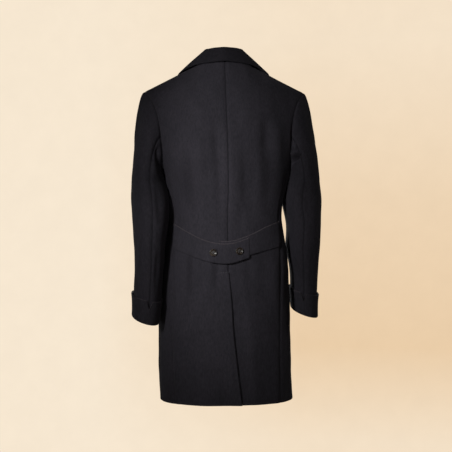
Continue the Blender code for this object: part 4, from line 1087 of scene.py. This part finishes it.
buttons = {
    "beltRadius": 0.0105, "frontRadius": 0.0125, "thick": 0.0045, "sides": 56,
    "holeAway": 0.19, "holeRadius": 0.10, "holeDeep": 0.42,
    "belt": (("left", 0.041), ("right", -0.029)),
    "rows": (("top", -0.350), ("middle", -0.460), ("low", -0.570)),
    "across": 0.060,
    # way round the profile, share of the radius, share of the thickness
    "profile": (
        (0.00, 0.03, 0.56), (0.14, 0.30, 0.55), (0.27, 0.56, 0.58), (0.34, 0.68, 0.72), (0.41, 0.78, 0.94),
        (0.47, 0.87, 1.00), (0.54, 0.96, 0.86), (0.60, 1.00, 0.56), (0.67, 0.97, 0.26), (0.75, 0.86, 0.06),
        (0.86, 0.50, 0.00), (1.00, 0.03, 0.00),
    ),
}


# dished four-hole button: a profile turned about the cloth's normal, with wells where the thread goes in
def makeButton(node, spot, normal, radius):
    normal = unit(normal)
    across = unit(np.cross(normal, np.array([0.0, 0.0, 1.0])))
    up = np.cross(across, normal)
    way = np.concatenate([np.linspace(0, 0.30, 26), np.linspace(0.31, 0.75, 34), [0.80, 0.86, 0.93, 1.0]])
    profile = smoothTable(buttons["profile"], way)
    turn = np.linspace(0, 2 * math.pi, buttons["sides"] + 1)[:-1]
    x = profile[:, :1] * np.cos(turn)
    y = profile[:, :1] * np.sin(turn)
    away = buttons["holeAway"]
    height = np.repeat(profile[:, 1:2], turn.size, axis=1)
    onTop = (way < 0.40)[:, None]
    for holeX, holeY in ((away, away), (-away, away), (-away, -away), (away, -away)):
        near = np.hypot(x - holeX, y - holeY) / buttons["holeRadius"]
        height = height - onTop * buttons["holeDeep"] * (1 - smoothStep((near - 0.55) / 0.6))
    thick = buttons["thick"]
    points = spot + radius * (x[..., None] * across + y[..., None] * up) + thick * height[..., None] * normal
    index = np.arange(x.size).reshape(x.shape)
    faces = gridFaces(np.concatenate([index, index[:, :1]], axis=1))
    piece = makeMesh(node + "Horn", points.reshape(-1, 3), faces, buttonHorn, 70.0,
                     ends=[index[0, ::-1].tolist(), index[-1].tolist()])
    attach(piece, "root")
    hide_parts(node)
    share = np.linspace(0, 1, 12)
    flat = away * (2 * share - 1)
    arch = 0.56 + 0.34 * np.sin(math.pi * share) ** 0.6 - 0.30 * (np.abs(2 * share - 1) ** 6)
    offsets = np.array([away - 0.035, away + 0.035, -away - 0.035, -away + 0.035])
    paths = spot + radius * (flat[None, :, None] * across + offsets[:, None, None] * up)
    paths = paths + thick * arch[None, :, None] * normal
    threadRadius = np.full(paths.shape[:2], radius * 0.042)
    points, faces, ends = tubes(paths, np.broadcast_to(normal, paths.shape), threadRadius, 8)
    thread = makeMesh(node + "Thread", points, faces, buttonThread, ends=ends)
    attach(thread, "root")


# buttons on the half-belt's lap and on the left front
def buildButtons():
    for hand, x in buttons["belt"]:
        z = smoothTable(halfBelt["line"], x)[0]
        column = columnAt("back", x, z)
        lift = cloth["lay"] + 2 * cloth["wall"] + 0.0010 + beltSlack(x, 0.0)
        spot = bodyFace("back", column, rowOf(z), lift)
        makeButton("belt_button_" + hand, spot, bodyNormal("back", column, rowOf(z)), buttons["beltRadius"])
    for level, z in buttons["rows"]:
        for hand, x in (("left", buttons["across"]), ("right", -buttons["across"])):
            column = columnAt("front", x, z)
            spot = bodyFace("front", column, rowOf(z), 0.0004)
            normal = bodyNormal("front", column, rowOf(z))
            makeButton(f"front_button_{level}_{hand}", spot, normal, buttons["frontRadius"])


buttonholes = {"length": 0.026, "half": 0.0013, "radius": 0.0007}


# worked buttonholes at the left front's edge: a thread tube round a long flat loop, thicker at each purl
def buildButtonholes():
    turn = np.linspace(0, 2 * math.pi, 97)
    length, half = buttonholes["length"] / 2, buttonholes["half"]
    for level, z in buttons["rows"]:
        x = -buttons["across"] + length - 0.002 + length * np.sign(np.cos(turn)) * np.abs(np.cos(turn)) ** 0.45
        height = z + half * np.sign(np.sin(turn)) * np.abs(np.sin(turn)) ** 0.6
        column, row = columnAt("front", x, height), rowOf(height)
        path = bodyFace("front", column, row, 0.0003)[None]
        normal = bodyNormal("front", column, row)[None]
        radius = buttonholes["radius"] * (1 + 0.22 * np.sin(48 * turn))[None]
        points, faces, ends = tubes(path, normal, radius, 6)
        piece = makeMesh("buttonhole_" + level, points, faces, seamThread, ends=ends)
        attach(piece, "root")


buildBacks()
buildSides()
print("coat: backs and sides sewn")
buildFronts()
buildLapels()
buildCollar()
print("coat: fronts, lapels and collar sewn")
buildSleeves()
print("coat: sleeves and cuffs sewn")
buildBelt()
buildVentStitch()
buildButtons()
buildButtonholes()
print("coat: half-belt, stitches and buttons sewn on")
print("coat: flat cuts in mm", flatCuts)

studio = {
    "floor": -1.45, "floorRadius": 1.2,
    "camera": {"azimuth": 176.5, "distance": 2.6, "height": -0.435, "lens": 72.4},
    # name, place, aim, softness, power, cone in degrees, width of the cone to its height
    "lights": (
        ("keyLamp", (1.25, 2.05, 0.15), (0.042, 0.11, -0.33), 0.18, 314.0, 36.0, 0.232),
        ("wideFill", (0.10, 2.60, -0.30), (0.00, 0.11, -0.55), 0.30, 14.0, 50.0, 0.8),
        ("rightFill", (-0.90, 2.20, -0.30), (-0.04, 0.11, -0.35), 0.30, 9.0, 44.0, 0.5),
        ("sideLeft", (2.30, -1.50, 0.10), (0.10, 0.00, -0.45), 0.40, 36.0, 50.0, 1.0),
        ("sideRight", (-2.30, -1.50, 0.10), (-0.10, 0.00, -0.45), 0.40, 24.0, 50.0, 1.0),
        ("frontLeft", (0.60, -2.50, 0.20), (0.0, -0.10, -0.45), 0.40, 115.0, 60.0, 1.0),
        ("frontRight", (-0.60, -2.50, 0.10), (0.0, -0.10, -0.45), 0.40, 85.0, 60.0, 1.0),
    ),
    "cream": (0.928, 0.802, 0.638), "creamRight": (0.820, 0.610, 0.395), "ambient": 0.035,
}


# flat floor disc: rings of points about the axis
def buildFloor():
    reach = np.linspace(0.01, studio["floorRadius"], 24)
    reach, turn = np.meshgrid(reach, np.linspace(0, 2 * math.pi, 73)[:-1], indexing="ij")
    points = np.stack([reach * np.cos(turn), reach * np.sin(turn), np.full(reach.shape, studio["floor"])], axis=-1)
    index = np.arange(reach.size).reshape(reach.shape)
    faces = gridFaces(np.concatenate([index, index[:, :1]], axis=1))
    material, tree, shader, coords = newMaterial("paleFloor")
    speck = addNoise(tree, coords, 30.0)
    pale = addRamp(tree, speck, ((0.3, (0.78, 0.72, 0.64)), (0.7, (0.84, 0.79, 0.72))))
    tree.links.new(pale, shader.inputs["Base Color"])
    tree.links.new(pale, shader.inputs["Emission Color"])
    path = tree.nodes.new("ShaderNodeLightPath")   # pale for the camera, but no light from below
    tree.links.new(path.outputs["Is Camera Ray"], shader.inputs["Emission Strength"])
    shader.inputs["Roughness"].default_value = 0.8
    floor = makeMesh("studioFloor", points.reshape(-1, 3), faces, material, ends=[index[0, ::-1].tolist()])


# soft-edged lamps, each turned to its aim
def buildLights():
    for name, place, aim, softness, power, cone, narrow in studio["lights"]:
        lamp = bpy.data.lights.new(name, "SPOT")
        lamp.energy = power
        lamp.spot_size = math.radians(cone)
        lamp.spot_blend = 1.0
        lamp.shadow_soft_size = softness
        item = bpy.data.objects.new(name, lamp)
        item.location = place
        item.rotation_euler = (Vector(aim) - Vector(place)).to_track_quat("-Z", "Y").to_euler()
        item.scale = (narrow, 1.0, 1.0)
        bpy.context.scene.collection.objects.link(item)


# cream paper seen by the camera, dimmer as a light, with painted shade towards the right, most at mid height
def buildWorld():
    world = bpy.data.worlds.new("creamStudio")
    bpy.context.scene.world = world
    world.use_nodes = True
    tree = world.node_tree
    background = tree.nodes["Background"]
    coords = tree.nodes.new("ShaderNodeTexCoord").outputs["Generated"]
    split = tree.nodes.new("ShaderNodeSeparateXYZ")
    tree.links.new(coords, split.inputs[0])
    shares = []
    for axis, start, end in (("X", 0.08, -0.14), ("Z", -0.26, 0.26)):
        spread = tree.nodes.new("ShaderNodeMapRange")
        spread.inputs["From Min"].default_value = start
        spread.inputs["From Max"].default_value = end
        tree.links.new(split.outputs[axis], spread.inputs["Value"])
        shares.append(spread.outputs["Result"])
    # painted shade on the paper: darker towards the right, most at mid height
    levels = ((0.06, 0.3), (0.25, 1.0), (0.55, 0.75), (0.88, 0.25))
    height = addRamp(tree, shares[1], tuple((place, (grey,) * 3) for place, grey in levels))
    deep = addProduct(tree, shares[0], height)
    paper = addRamp(tree, deep, ((0.0, studio["cream"]), (1.0, studio["creamRight"])))
    grain = addRamp(tree, addNoise(tree, coords, 45.0), ((0.3, (0.985,) * 3), (0.7, (1.012,) * 3)))
    colour = addBlend(tree, 1.0, paper, grain, "MULTIPLY")
    tree.links.new(colour, background.inputs["Color"])
    path = tree.nodes.new("ShaderNodeLightPath")
    level = tree.nodes.new("ShaderNodeMapRange")
    level.inputs["To Min"].default_value = studio["ambient"]
    level.inputs["To Max"].default_value = 1.0
    tree.links.new(path.outputs["Is Camera Ray"], level.inputs["Value"])
    tree.links.new(level.outputs["Result"], background.inputs["Strength"])


# level camera behind the coat, at the photograph's angle
def buildCamera():
    view = studio["camera"]
    turn = math.radians(view["azimuth"])
    lens = bpy.data.cameras.new("photoCamera")
    lens.lens = view["lens"]
    lens.sensor_width = 36.0
    item = bpy.data.objects.new("photoCamera", lens)
    item.location = (math.sin(turn) * view["distance"], -math.cos(turn) * view["distance"], view["height"])
    item.rotation_euler = (math.pi / 2, 0.0, turn)
    bpy.context.scene.collection.objects.link(item)
    bpy.context.scene.camera = item


buildFloor()
buildLights()
buildWorld()
buildCamera()
bpy.context.scene.view_settings.view_transform = "Standard"
print("coat: studio set")
